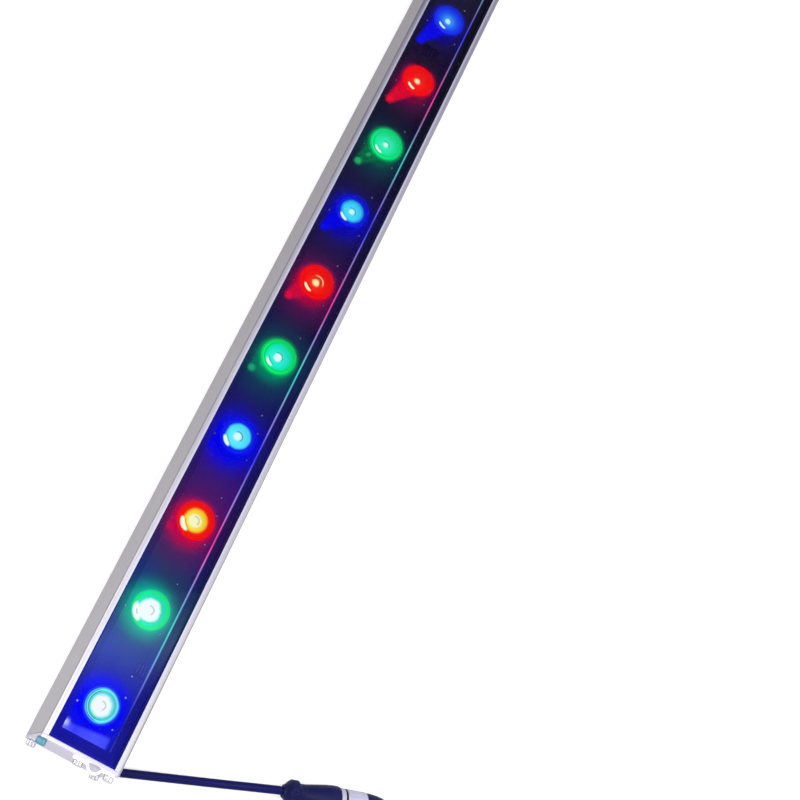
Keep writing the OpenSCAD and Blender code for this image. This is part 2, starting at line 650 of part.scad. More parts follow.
module pivot_bolt_far() { color([0.8, 0.8, 0.82]) translate([bx, 0, 0]) pivot_bolt(); }
module pivot_nut_near() { color([0.8, 0.8, 0.82]) translate([-bx, 0, 0]) pivot_nut(); }
module pivot_nut_far() { color([0.8, 0.8, 0.82]) translate([bx, 0, 0]) pivot_nut(); }
module pivot_washers_near() { color([0.85, 0.85, 0.8]) translate([-bx, 0, 0]) pivot_washers(); }
module pivot_washers_far() { color([0.85, 0.85, 0.8]) translate([bx, 0, 0]) pivot_washers(); }

housing_extrusion();
end_plate_cable();
end_plate_far();
gasket_cable();
gasket_far();
cap_screws_cable();
cap_screws_far();
earth_screw();
safety_strap();
strap_screw();
strap_nut();
cover_glass();
glass_seal();
led_board_a();
led_board_b();
board_screws();
board_link();
feed_wires();
leds_blue();
leds_green();
leds_red();
lenses_blue();
lenses_green();
lenses_red();
lens_holders();
driver_board();
driver_inductors();
driver_capacitors();
driver_chips();
terminal_block();
input_wires();
gland_body();
gland_oring();
gland_locknut();
gland_seal();
gland_nut();
supply_cable();
connector_boot_nut();
connector_body();
connector_insert();
contact_pins();
coupling_ring();
ring_oring();
dust_cap();
slider_near();
slider_far();
lock_screws_near();
lock_screws_far();
foot_near();
foot_far();
pivot_bolt_near();
pivot_bolt_far();
pivot_nut_near();
pivot_nut_far();
pivot_washers_near();
pivot_washers_far();
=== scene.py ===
import json
import math
import random

import bmesh
import bpy
from mathutils import Matrix, Vector


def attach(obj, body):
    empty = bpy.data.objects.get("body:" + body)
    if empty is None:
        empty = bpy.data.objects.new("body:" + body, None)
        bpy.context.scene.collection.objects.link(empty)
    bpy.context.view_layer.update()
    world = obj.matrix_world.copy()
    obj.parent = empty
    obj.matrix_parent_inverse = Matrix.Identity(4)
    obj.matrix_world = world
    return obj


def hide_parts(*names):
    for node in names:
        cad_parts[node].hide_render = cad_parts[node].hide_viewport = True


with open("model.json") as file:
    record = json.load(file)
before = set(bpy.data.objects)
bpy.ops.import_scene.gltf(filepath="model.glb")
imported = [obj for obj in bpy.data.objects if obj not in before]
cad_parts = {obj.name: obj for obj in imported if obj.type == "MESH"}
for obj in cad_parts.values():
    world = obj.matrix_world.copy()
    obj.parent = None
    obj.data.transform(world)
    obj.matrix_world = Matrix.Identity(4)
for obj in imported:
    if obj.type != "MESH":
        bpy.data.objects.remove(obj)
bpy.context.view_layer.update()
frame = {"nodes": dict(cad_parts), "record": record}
nodes = frame["nodes"]
scene = bpy.context.scene
MM = 0.001
random.seed(7)


# ------------------------------------------------------------------ node maths
def lin(r, g, b):
    """Linear colour from display values 0..255."""
    out = []
    for c in (r, g, b):
        c = c / 255.0
        out.append(c / 12.92 if c <= 0.04045 else ((c + 0.055) / 1.055) ** 2.4)
    return tuple(out)


class V:
    """A socket with arithmetic, so that patterns read as formulas."""
    tree = None

    def __init__(self, sock):
        self.s = sock

    @staticmethod
    def link(inp, v):
        if isinstance(v, V):
            V.tree.links.new(v.s, inp)
        else:
            inp.default_value = v

    @staticmethod
    def op(name, a, b=None, c=None, clamp=False):
        n = V.tree.nodes.new("ShaderNodeMath")
        n.operation = name
        n.use_clamp = clamp
        for i, v in enumerate((a, b, c)):
            if v is not None:
                V.link(n.inputs[i], v)
        return V(n.outputs[0])

    def __add__(self, o):
        return V.op("ADD", self, o)

    __radd__ = __add__

    def __sub__(self, o):
        return V.op("SUBTRACT", self, o)

    def __rsub__(self, o):
        return V.op("SUBTRACT", o, self)

    def __mul__(self, o):
        return V.op("MULTIPLY", self, o)

    __rmul__ = __mul__

    def __truediv__(self, o):
        return V.op("DIVIDE", self, o)

    def __neg__(self):
        return V.op("MULTIPLY", self, -1.0)


def vmin(a, b):
    return V.op("MINIMUM", a, b)


def vmax(a, b):
    return V.op("MAXIMUM", a, b)


def clamp(a, lo=0.0, hi=1.0):
    return vmin(vmax(a, lo), hi)


def root(a):
    return V.op("SQRT", vmax(a, 0.0))


def vexp(a):
    return V.op("EXPONENT", a)


def vabs(a):
    return V.op("ABSOLUTE", a)


def step(e0, e1, x):
    """0 below e0, 1 above e1, smooth between; e0 may be the larger."""
    n = V.tree.nodes.new("ShaderNodeMapRange")
    n.interpolation_type = "SMOOTHSTEP"
    V.link(n.inputs["Value"], x)
    if not isinstance(e0, V) and not isinstance(e1, V) and e0 > e1:
        V.link(n.inputs["From Min"], e1)
        V.link(n.inputs["From Max"], e0)
        n.inputs["To Min"].default_value = 1.0
        n.inputs["To Max"].default_value = 0.0
    else:
        V.link(n.inputs["From Min"], e0)
        V.link(n.inputs["From Max"], e1)
    return V(n.outputs["Result"])


def ramp(x, stops, ease=False):
    """Colour from a list of (position, linear rgb)."""
    n = V.tree.nodes.new("ShaderNodeValToRGB")
    n.color_ramp.interpolation = "EASE" if ease else "LINEAR"
    el = n.color_ramp.elements
    while len(el) > 1:
        el.remove(el[-1])
    el[0].position = stops[0][0]
    el[0].color = (*stops[0][1], 1)
    for p, c in stops[1:]:
        e = el.new(p)
        e.color = (*c, 1)
    V.link(n.inputs[0], x)
    return V(n.outputs[0])


def values(x, stops):
    """Number that follows a list of (position, value)."""
    return V.op("MULTIPLY", ramp(x, [(p, (v / 100.0,) * 3) for p, v in stops]), 100.0)


def cmix(f, a, b):
    n = V.tree.nodes.new("ShaderNodeMix")
    n.data_type = "RGBA"
    n.clamp_factor = True
    V.link(n.inputs[0], f)
    for i, c in ((6, a), (7, b)):
        V.link(n.inputs[i], c if isinstance(c, V) else (*c, 1.0))
    return V(n.outputs[2])


def cscale(c, k):
    n = V.tree.nodes.new("ShaderNodeVectorMath")
    n.operation = "SCALE"
    V.link(n.inputs[0], c)
    V.link(n.inputs["Scale"], k)
    return V(n.outputs[0])


def cadd(a, b):
    n = V.tree.nodes.new("ShaderNodeVectorMath")
    n.operation = "ADD"
    V.link(n.inputs[0], a)
    V.link(n.inputs[1], b)
    return V(n.outputs[0])


def cmin(a, b):
    n = V.tree.nodes.new("ShaderNodeVectorMath")
    n.operation = "MINIMUM"
    V.link(n.inputs[0], a)
    V.link(n.inputs[1], b)
    return V(n.outputs[0])


def cmul(a, b):
    n = V.tree.nodes.new("ShaderNodeVectorMath")
    n.operation = "MULTIPLY"
    V.link(n.inputs[0], a)
    V.link(n.inputs[1], b)
    return V(n.outputs[0])


def vec(x, y, z):
    n = V.tree.nodes.new("ShaderNodeCombineXYZ")
    for i, v in enumerate((x, y, z)):
        V.link(n.inputs[i], v)
    return V(n.outputs[0])


def split(v):
    n = V.tree.nodes.new("ShaderNodeSeparateXYZ")
    V.link(n.inputs[0], v)
    return [V(o) for o in n.outputs]


def place():
    """Position in millimetres on the resting part."""
    n = V.tree.nodes.new("ShaderNodeTexCoord")
    return cscale(V(n.outputs["Object"]), 1000.0)


def noise(p, scale, detail=2.0, rough=0.5):
    n = V.tree.nodes.new("ShaderNodeTexNoise")
    V.link(n.inputs["Vector"], p)
    n.inputs["Scale"].default_value = scale
    n.inputs["Detail"].default_value = detail
    n.inputs["Roughness"].default_value = rough
    return V(n.outputs[0])


def voronoi(p, scale, out="Distance"):
    n = V.tree.nodes.new("ShaderNodeTexVoronoi")
    V.link(n.inputs["Vector"], p)
    n.inputs["Scale"].default_value = scale
    return V(n.outputs[out])


def bump(height, strength, distance):
    n = V.tree.nodes.new("ShaderNodeBump")
    n.inputs["Strength"].default_value = strength
    n.inputs["Distance"].default_value = distance
    V.link(n.inputs["Height"], height)
    return V(n.outputs[0])


def edge_wear(radius=0.0006):
    """1 on sharp outer edges, from the bevelled normal."""
    b = V.tree.nodes.new("ShaderNodeBevel")
    b.samples = 4
    b.inputs["Radius"].default_value = radius
    g = V.tree.nodes.new("ShaderNodeNewGeometry")
    d = V.tree.nodes.new("ShaderNodeVectorMath")
    d.operation = "DOT_PRODUCT"
    V.tree.links.new(b.outputs[0], d.inputs[0])
    V.tree.links.new(g.outputs["Normal"], d.inputs[1])
    return step(0.995, 0.9, V(d.outputs["Value"]))


def new_material(name):
    m = bpy.data.materials.new(name)
    m.use_nodes = True
    m.node_tree.nodes.clear()
    V.tree = m.node_tree
    return m


def principled(color, rough, metal=0.0, normal=None, emit=None, spec=0.5, coat=0.0, coat_rough=0.1, sheen=0.0):
    n = V.tree.nodes.new("ShaderNodeBsdfPrincipled")
    V.link(n.inputs["Base Color"], color if isinstance(color, V) else (*color, 1.0))
    V.link(n.inputs["Roughness"], rough)
    V.link(n.inputs["Metallic"], metal)
    n.inputs["Specular IOR Level"].default_value = spec
    n.inputs["Coat Weight"].default_value = coat
    n.inputs["Coat Roughness"].default_value = coat_rough
    n.inputs["Sheen Weight"].default_value = sheen
    if normal is not None:
        V.link(n.inputs["Normal"], normal)
    if emit is not None:
        V.link(n.inputs["Emission Color"], emit)
        n.inputs["Emission Strength"].default_value = 1.0
    return V(n.outputs[0])


def output(shader):
    n = V.tree.nodes.new("ShaderNodeOutputMaterial")
    V.tree.links.new(shader.s, n.inputs[0])


# ------------------------------------------------------------------ the light of the emitters
PITCH = 55.0
BLUE, GREEN, RED = 0, 1, 2


def led_offset(x, kind):
    """Distance along the bar to the nearest emitter of one colour."""
    u = x / PITCH + 8.5
    k = clamp(V.op("ROUND", (u - float(kind)) / 3.0), 0.0, 5.0)
    return (u - (k * 3.0 + float(kind))) * PITCH


def sight():
    """(lean along x, lean along y, tangent of the angle off the lens axis): how far deeper things shift
    towards the viewer for each millimetre of depth."""
    g = V.tree.nodes.new("ShaderNodeNewGeometry")
    ix, iy, iz = split(V(g.outputs["Incoming"]))
    iz = vmax(iz, 0.2)
    lx, ly = ix / iz, iy / iz
    return lx, ly, root(lx * lx + ly * ly)


def halo(r, t, kind):
    """(colour, share) of the stray light on whatever lies round an emitter."""
    if kind == BLUE:
        col = ramp(t, [(0.22, lin(0, 0, 244)), (0.34, lin(0, 0, 232)), (0.48, lin(0, 0, 214)), (0.64, lin(0, 0, 190)), (0.84, lin(12, 8, 150))])
        wid = values(t, [(0.22, 5.5), (0.30, 7.5), (0.41, 8.0), (0.62, 6.0), (0.84, 3.4)])
        start = values(t, [(0.22, 12.0), (0.41, 9.5), (0.84, 9.0)])
    elif kind == GREEN:
        col = ramp(t, [(0.22, lin(0, 150, 136)), (0.28, lin(0, 164, 148)), (0.35, lin(0, 140, 118)), (0.48, lin(0, 118, 90)), (0.69, lin(0, 104, 62)), (0.84, lin(0, 80, 50))])
        wid = values(t, [(0.22, 5.5), (0.29, 5.8), (0.38, 4.2), (0.48, 3.6), (0.69, 2.6), (0.84, 2.4)])
        start = values(t, [(0.22, 10.0), (0.84, 9.6)])
    else:
        col = ramp(t, [(0.22, lin(205, 4, 76)), (0.35, lin(176, 5, 76)), (0.54, lin(176, 2, 52)), (0.76, lin(150, 2, 38)), (0.84, lin(120, 2, 30))])
        wid = values(t, [(0.22, 6.0), (0.35, 4.2), (0.54, 3.6), (0.76, 2.8), (0.84, 2.5)])
        start = values(t, [(0.22, 10.4), (0.35, 9.7), (0.84, 9.6)])
    d = vmax(r - start, 0.0) / wid
    hold = values(t, [(0.22, 1.0), (0.38, 1.0), (0.54, 0.72), (0.69, 0.42), (0.84, 0.34)])
    return col, vexp(-(d * d)) * hold


def wide_halo(r, t, kind):
    """The faint outer reach of the same light."""
    col = {BLUE: lin(8, 8, 128), GREEN: lin(0, 74, 78), RED: lin(108, 6, 82)}[kind]
    d = vmax(r - 10.0, 0.0) / values(t, [(0.22, 15.0), (0.45, 13.0), (0.84, 8.0)])
    return col, vexp(-(d * d)) * values(t, [(0.22, 0.55), (0.5, 0.6), (0.84, 0.35)])


def ghost(px, y, lx, ly, t, kind, z_here):
    """Painted glow of the lens cone and its reflection between board and glass, seen through the surface at height
    z_here.
    """
    up = z_here - 43.0
    dn = z_here - 77.0
    ax, ay = lx * dn, ly * dn
    bx, by = lx * up, ly * up + 6.0
    ex, ey = bx - ax, by - ay
    qx, qy = px - ax, y - ay
    h = clamp((qx * ex + qy * ey) / vmax(ex * ex + ey * ey, 0.01))
    ux, uy = qx - ex * h, qy - ey * h
    d = root(ux * ux + uy * uy)
    rad = 8.6 - h * 6.0
    body = step(rad + 1.9, rad - 1.6, d)
    wx, wy = px - bx, y - by
    tip = clamp((3.2 - root(wx * wx + wy * wy)) / 2.0)
    if kind == BLUE:
        c0 = ramp(t, [(0.3, lin(0, 0, 225)), (0.6, lin(0, 0, 224)), (0.84, lin(10, 8, 225))])
        c1 = ramp(t, [(0.3, lin(0, 0, 240)), (0.6, lin(0, 0, 235)), (0.84, lin(8, 8, 235))])
    elif kind == GREEN:
        c0 = ramp(t, [(0.3, lin(0, 124, 90)), (0.48, lin(0, 122, 76)), (0.69, lin(4, 128, 64)), (0.84, lin(4, 112, 52))])
        c1 = ramp(t, [(0.3, lin(20, 160, 130)), (0.48, lin(26, 160, 112)), (0.69, lin(34, 170, 96)), (0.84, lin(34, 160, 86))])
    else:
        c0 = ramp(t, [(0.3, lin(205, 12, 66)), (0.54, lin(215, 4, 58)), (0.76, lin(226, 2, 44)), (0.84, lin(215, 2, 40))])
        c1 = ramp(t, [(0.3, lin(226, 0, 76)), (0.54, lin(235, 0, 64)), (0.76, lin(250, 2, 44)), (0.84, lin(240, 2, 40))])
    vis = clamp((t - 0.3) / 0.25)
    if kind == GREEN:
        for f, side in ((0.70, 1.5), (0.47, -2.6), (0.52, 2.4)):
            vx, vy = px - ax - ex * f - side, y - ay - ey * f + side * 0.5
            tip = vmax(tip, clamp((1.9 - root(vx * vx + vy * vy)) / 1.3) * 0.8)
    blotch = noise(vec(px * 0.5, y * 0.5, 0.0), 1.0, 1.0)
    mottled = clamp(2.6 * blotch - 0.75, 0.28, 1.0) if kind == GREEN else clamp(0.75 + 0.5 * blotch)
    # soft bloom round the disc itself, in the plane of the lens
    bd = vmax(root(qx * qx + qy * qy) - 10.3, 0.0) / 1.7
    bloom = vexp(-(bd * bd)) * values(t, [(0.2, 0.0), (0.3, 0.25), (0.45, 0.5), (0.75, 0.62), (0.84, 0.4)])
    return c0, body * vis * mottled, c1, tip * clamp((t - 0.24) / 0.16), bloom


def base_glow(t):
    """Even blue-violet stray light over the emitter board."""
    return ramp(t, [(0.2, lin(12, 12, 180)), (0.25, lin(36, 50, 172)), (0.275, lin(34, 42, 150)), (0.30, lin(28, 46, 104)), (0.335, lin(36, 22, 100)), (0.375, lin(56, 16, 114)), (0.41, lin(28, 16, 98)), (0.44, lin(18, 16, 90)),
                    (0.51, lin(20, 14, 58)), (0.58, lin(28, 10, 66)), (0.65, lin(18, 14, 54)), (0.72, lin(15, 12, 40)), (0.79, lin(24, 9, 44)), (0.84, lin(26, 20, 48))])


# painted light colour of a lit lens flange, by viewing angle
def flange_glow(kind, t):
    if kind == BLUE:
        return ramp(t, [(0.20, lin(0, 30, 250)), (0.26, lin(0, 26, 246)), (0.34, lin(0, 10, 240)), (0.62, lin(0, 10, 216)), (0.70, lin(6, 22, 222)), (0.84, lin(22, 40, 230))])
    if kind == GREEN:
        return ramp(t, [(0.20, lin(0, 255, 150)), (0.28, lin(0, 242, 156)), (0.34, lin(0, 234, 120)), (0.48, lin(0, 222, 96)), (0.69, lin(0, 222, 118)), (0.84, lin(0, 208, 110))])
    return ramp(t, [(0.20, lin(255, 30, 10)), (0.35, lin(255, 4, 0)), (0.54, lin(252, 2, 4)), (0.76, lin(252, 2, 12)), (0.84, lin(244, 2, 14))])


def lens_light(kind):
    """Painted light of one lens as the eye sees it: spot, aperture, flange and the crescent from the far side of the
    cone.
    """
    x, y, z = split(place())
    px = led_offset(x, kind)
    lx, ly, t = sight()
    r = root(px * px + y * y)
    gx, gy = lx, ly + 0.17
    gl = vmax(root(gx * gx + gy * gy), 0.02)
    cosd = (px * gx + y * gy) / (gl * vmax(r, 0.05))
    wob = (noise(vec(px * 0.22, y * 0.22, x * 0.01), 1.0, 2.0) - 0.5)
    fl = flange_glow(kind, t)
    if kind == BLUE:
        ap = ramp(t, [(0.20, lin(96, 236, 246)), (0.25, lin(84, 230, 246)), (0.32, lin(80, 232, 255)), (0.41, lin(70, 226, 250)),
                      (0.62, lin(44, 205, 246)), (0.70, lin(26, 140, 246)), (0.84, lin(24, 84, 244))])
        rad = values(t, [(0.20, 8.9), (0.26, 8.7), (0.34, 7.4), (0.62, 6.9), (0.84, 6.6)])
        soft = values(t, [(0.20, 0.5), (0.41, 0.7), (0.62, 1.1), (0.70, 2.6), (0.84, 3.4)])
        core = values(t, [(0.20, 5.4), (0.25, 5.2), (0.32, 3.2), (0.41, 2.0), (0.62, 1.8), (0.84, 1.7)])
        hot = ramp(t, [(0.2, lin(255, 255, 255)), (0.41, lin(225, 255, 255)), (0.84, lin(190, 240, 255))])
        shine = ramp(t, [(0.2, lin(190, 255, 238)), (0.26, lin(180, 255, 240)), (0.41, lin(130, 245, 255)), (0.62, lin(96, 232, 250)), (0.84, lin(80, 180, 250))])
    elif kind == GREEN:
        ap = ramp(t, [(0.20, lin(60, 255, 200)), (0.28, lin(16, 232, 194)), (0.38, lin(0, 236, 176)), (0.48, lin(4, 236, 196)), (0.69, lin(10, 232, 150)), (0.84, lin(10, 224, 136))])
        rad = values(t, [(0.20, 7.8), (0.28, 8.2), (0.48, 7.6), (0.84, 7.4)])
        soft = values(t, [(0.20, 1.2), (0.84, 2.2)])
        core = values(t, [(0.20, 7.0), (0.28, 6.0), (0.36, 4.2), (0.48, 2.2), (0.69, 1.6), (0.84, 1.5)])
        hot = ramp(t, [(0.2, lin(255, 255, 255)), (0.48, lin(225, 255, 250)), (0.84, lin(205, 255, 238))])
        shine = ramp(t, [(0.2, lin(120, 255, 210)), (0.28, lin(60, 250, 200)), (0.48, lin(70, 248, 236)), (0.69, lin(80, 248, 206)), (0.84, lin(70, 240, 190))])
    else:
        ap = ramp(t, [(0.20, lin(255, 250, 190)), (0.28, lin(255, 240, 90)), (0.35, lin(255, 212, 38)), (0.43, lin(255, 80, 8)), (0.54, lin(248, 12, 6)), (0.84, lin(250, 6, 10))])
        rad = values(t, [(0.20, 7.6), (0.35, 6.4), (0.84, 6.6)])
        soft = values(t, [(0.20, 0.8), (0.84, 1.2)])
        core = values(t, [(0.20, 6.4), (0.28, 5.0), (0.35, 3.3), (0.43, 2.6), (0.54, 2.2), (0.76, 1.8), (0.84, 1.6)])
        hot = ramp(t, [(0.2, lin(255, 255, 250)), (0.35, lin(255, 250, 190)), (0.54, lin(255, 238, 165)), (0.84, lin(255, 236, 190))])
        shine = ramp(t, [(0.2, lin(255, 250, 150)), (0.35, lin(255, 236, 70)), (0.45, lin(255, 70, 10)), (0.84, lin(255, 30, 26))])
    # aperture and flange, brighter towards the middle
    rr = r + wob * 0.7
    col = cmix(clamp((rad + soft - rr) / (soft * 2.0)), fl, ap)
    col = cmix(vexp(-(rr * rr) / (rad * rad * 0.34)) * 0.8, col, shine)
    # thin moulded rings on the flange, drawn as painted bright and dark lines, with the flange painted a little
    # brighter to one side
    far = clamp((t - 0.24) / 0.12)
    ring = vexp(-((r - 9.55) * (r - 9.55)) / 0.16) * 0.40 - vexp(-((r - 8.75) * (r - 8.75)) / 0.14) * 0.34 \
        - vexp(-((r - 10.2) * (r - 10.2)) / 0.08) * 0.30
    side = clamp(0.55 + 0.6 * cosd + 0.9 * wob)
    col = cscale(col, 1.0 + ring * far * side + cosd * 0.10 * clamp(r / 6.0))
    # painted bright green line of light at the flange edge, where the lens is seen nearly head-on
    if kind == GREEN:
        lip = vexp(-((r - 9.5) * (r - 9.5)) / 0.22) * clamp((0.36 - t) / 0.05) * clamp(0.5 + 0.9 * vabs(cosd) - 0.6 * wob)
        col = cmix(lip * 0.85, col, lin(0, 238, 84))
    # dark arcs at the rim of the brightest discs, on the side of the deeper end
    close = clamp((0.27 - t) / 0.03)
    arcs = (clamp((0.42 - vabs(r - 7.3)) / 0.3) * 0.55 + clamp((0.40 - vabs(r - 8.3)) / 0.3) * 0.7) * step(-0.1, 0.5, cosd + wob * 1.5)
    shade = 0.30 * vexp(-((r - 6.9) * (r - 6.9)) / 0.35) - 0.25 * vexp(-((r - 8.0) * (r - 8.0)) / 0.12)
    col = cscale(col, 1.0 - (arcs + shade * (1.0 - arcs)) * close)
    # hot spot, drawn out towards the deeper end of the cone
    sx, sy = px - gx * 0.8, y - gy * 0.8
    rs = root(sx * sx + sy * sy)
    spot = clamp((core + 0.8 - (rs + wob * 2.0)) / 1.5)
    col = cmix(spot, col, hot)
    # painted crescent highlight on the side of the deeper end
    near = clamp((0.37 - t) / 0.08)
    if kind == BLUE:
        rc = 8.0 - clamp((t - 0.45) / 0.25) * 0.9
        half = 1.10 - 0.15 * clamp((t - 0.45) / 0.2)
        ang = step(0.87, 0.96, cosd) * clamp((t - 0.29) / 0.05)
    else:
        rc = 7.1 + near * 1.0
        half = 0.95 + near * 0.75
        ang = step(0.86 - near * 0.10, 0.95 - near * 0.08, cosd + wob * 0.25)
    full = root(clamp((cosd - 0.86 + near * 0.13) / (0.14 + near * 0.13)))
    cres = clamp((half * full + 0.30 - vabs(r - rc)) / 0.6) * ang
    if kind == GREEN:
        link = clamp((0.32 - t) / 0.04)
        cres = vmax(cres, step(0.80, 0.93, cosd + wob * 0.3) * clamp((8.8 - r) / 0.8) * link)
        dash = clamp((0.36 - vabs(r - 7.5)) / 0.3) * step(0.975, 0.99, cosd) * link
    col = cmix(cres, col, cmix(0.3, hot, (1.0, 1.0, 1.0)))
    if kind == GREEN:
        col = cscale(col, 1.0 - dash * 0.6)
        closed = 1.0 - link
    else:
        closed = 1.0
    # gap between crescent and core, the dark arc beside the spot and a faint second reflection opposite
    gap = clamp((0.5 - vabs(r - (rc - half - 0.55))) / 0.45) * step(0.80, 0.95, cosd) * clamp((t - 0.2) / 0.05)
    arc = clamp((0.6 - vabs(rs - values(t, [(0.2, 2.2), (0.36, 2.4), (0.41, 3.0), (0.62, 2.7), (0.84, 2.4)]))) / 0.5) * step(0.2, -0.3, cosd)
    col = cscale(col, 1.0 - gap * closed * 0.5 - arc * values(t, [(0.2, 0.36), (0.36, 0.42), (0.41, 0.62), (0.62, 0.5), (0.84, 0.4)]))
    back = clamp((0.6 - vabs(r - 4.4)) / 0.5) * step(-0.35, -0.8, cosd + wob) * clamp((t - 0.40) / 0.08) * clamp((0.72 - t) / 0.08)
    if kind == RED:
        col = cmix(back * 0.7, col, hot)
    return cmin(col, (1.0, 1.0, 1.0)), r, t


def lens_material(name, kind):
    m = new_material(name)
    col, r, t = lens_light(kind)
    p = place()
    fine = noise(p, 0.9, 2.0)
    # near-black lens whose look is all painted light, carried as emission
    coat = principled((0.001, 0.001, 0.0012), 0.12 + 0.1 * fine, spec=0.03, emit=col, normal=bump(fine, 0.05, 0.0002))
    output(coat)
    return m


def emitter_material(name, kind):
    m = new_material(name)
    col, r, t = lens_light(kind)
    x, y, z = split(place())
    dome = step(68.9, 69.4, z)
    ceramic = cmix(noise(place(), 1.4, 2.0), lin(196, 200, 190), lin(214, 214, 200))
    # the emitter carries the lens's painted light as emission, full on the dome and a quarter of it on the ceramic body
    output(principled(ceramic, 0.35, spec=0.05, emit=cscale(col, 0.25 + 0.75 * dome)))
    return m


def board_light(depth=False):
    """Stray light over the board; with depth, what the eye would see of it behind a higher surface."""
    name = "board_light_behind" if depth else "board_light"
    group = bpy.data.node_groups.get(name)
    if group is None:
        group = bpy.data.node_groups.new(name, "ShaderNodeTree")
        group.interface.new_socket("Light", in_out="OUTPUT", socket_type="NodeSocketColor")
        outer, V.tree = V.tree, group
        x, y, z = split(place())
        lx, ly, t = sight()
        if depth:
            x = x - lx * (z - 67.6)
            y = y - ly * (z - 67.6)
        total = base_glow(t)
        for reach in (wide_halo, halo):
            for kind in (BLUE, GREEN, RED):
                px = led_offset(x, kind)
                if kind == GREEN:
                    px = px - values(t, [(0.24, 1.6), (0.36, 0.0)])
                col, share = reach(root(px * px + y * y), t, kind)
                total = cmix(share, total, col)
        for kind in (BLUE, GREEN, RED):
            px = led_offset(x, kind)
            c0, share0, c1, share1, bloom = ghost(px, y, lx, ly, t, kind, 67.6)
            total = cmix(bloom, cmix(share1, cmix(share0, total, c0), c1), flange_glow(kind, t))
        out = group.nodes.new("NodeGroupOutput")
        group.links.new(total.s, out.inputs[0])
        V.tree = outer
    n = V.tree.nodes.new("ShaderNodeGroup")
    n.node_tree = group
    return V(n.outputs[0])


def in_chamber(x, y, z):
    """1 above the emitter board, under the glass."""
    return step(65.9, 66.1, z) * step(79.0, 78.8, z) * step(18.4, 18.2, vabs(y)) * step(488.0, 487.5, vabs(x))


# ------------------------------------------------------------------ metals
def anodised(name, dark, light, rough=0.36, lines=(0.004, 1.6, 1.6), wear=True, emit=None, metal=1.0, paint_light_and_shade=None):
    """Satin anodised aluminium with drawing lines along one direction."""
    m = new_material(name)
    p = place()
    x, y, z = split(p)
    drawn = noise(vec(x * lines[0], y * lines[1], z * lines[2]), 1.0, 5.0, 0.62)
    cloud = noise(vec(x * 0.02, y * 0.08, z * 0.08), 1.0, 3.0)
    speck = noise(p, 5.0, 2.0)
    col = cmix(clamp(drawn * 0.75 + cloud * 0.5 - 0.12), dark, light)
    # the part's painted light and shade is laid over the metal colour here
    if paint_light_and_shade is not None:
        col = paint_light_and_shade(col, x, y, z)
    r = rough + 0.10 * (drawn - 0.5) + 0.10 * (cloud - 0.5)
    if wear:
        e = edge_wear()
        col = cmix(e * 0.55, col, (0.86, 0.86, 0.88))
        r = r - e * 0.08
    n = bump(drawn + speck * 0.12, 0.10, 0.0002)
    output(principled(col, clamp(r, 0.12, 0.9), metal, normal=n, emit=emit() if emit else None))
    return m


def ledge_emission():
    """The inner corner of the glass ledge catches the emitters' light as a bright line."""
    x, y, z = split(place())
    ay = vabs(y)
    on = clamp((14.45 - ay) / 0.1) * step(76.6, 76.9, z) * step(80.2, 79.9, z) * clamp((ay - 13.0) / 0.2) * clamp(-y)
    # painted stray light from the board on the housing's inner faces just under the board level
    below = step(63.0, 63.4, z) * step(66.6, 66.4, z) * step(18.6, 18.4, ay)
    return cadd(cscale(line_light(x), on), cscale(board_light(True), below * 0.8))


def line_light(x):
    lx, ly, t = sight()
    total = ramp(t, [(0.2, lin(82, 92, 226)), (0.34, lin(150, 140, 225)), (0.5, lin(150, 130, 205)), (0.84, lin(120, 110, 165))])
    for kind, c in ((BLUE, lin(30, 30, 245)), (GREEN, lin(30, 225, 205)), (RED, lin(245, 40, 150))):
        px = led_offset(x + 6.0, kind)
        g = vexp(-(px * px) / 300.0)
        total = cmix(g * 0.85, total, c)
    wob = 0.45 + 0.85 * noise(vec(x * 0.06, 0.0, 0.0), 1.0, 3.0)
    return cscale(total, wob * (0.3 + 0.7 * clamp((x + 468.0) / 22.0)))


def steel(name, dark, light, rough=0.22, scale=(0.6, 0.6, 0.6), metal=1.0, chamber=False):
    m = new_material(name)
    p = place()
    x, y, z = split(p)
    n1 = noise(vec(x * scale[0], y * scale[1], z * scale[2]), 2.0, 4.0, 0.6)
    n2 = noise(p, 3.0, 2.0)
    e = edge_wear(0.0003)
    col = cmix(clamp(n1 * 1.3 - 0.15), dark, light)
    col = cmix(e * 0.5, col, (0.93, 0.93, 0.93))
    glow = None
    if chamber:
        # inside the light chamber the metal is painted near-black shade and carries the board's painted stray light as
        # emission
        within = in_chamber(x, y, z)
        col = cmix(within, col, (0.004, 0.004, 0.01))
        glow = cscale(board_light(True), within * (0.55 + 0.5 * n1))
    output(principled(col, clamp(rough + (n1 - 0.5) * 0.2, 0.08, 0.8), metal, emit=glow, normal=bump(n2, 0.08, 0.0001)))
    return m


def plastic(name, dark, light, rough=0.45, grain=6.0, depth=0.12, spec=0.4, wear=0.25, coat=0.0, glow=None):
    """Moulded plastic or rubber: fine grain, uneven sheen and rubbed edges."""
    m = new_material(name)
    p = place()
    x, y, z = split(p)
    big = noise(p, 0.08, 3.0)
    fine = voronoi(p, grain)
    soft = noise(p, 1.1, 3.0)
    col = cmix(clamp(big * 0.8 + soft * 0.5 - 0.15), dark, light)
    if wear:
        col = cmix(edge_wear(0.0004) * wear, col, tuple(min(1.0, c * 2.2 + 0.05) for c in light))
    output(principled(col, clamp(rough + (soft - 0.5) * 0.16 + (big - 0.5) * 0.1, 0.05, 1.0), spec=spec, coat=coat, coat_rough=0.25,
                      emit=glow(soft) if glow else None, normal=bump(fine * 0.6 + soft * 0.4, depth, 0.0002)))
    return m


# ------------------------------------------------------------------ materials of the carried-over nodes
mats = {}


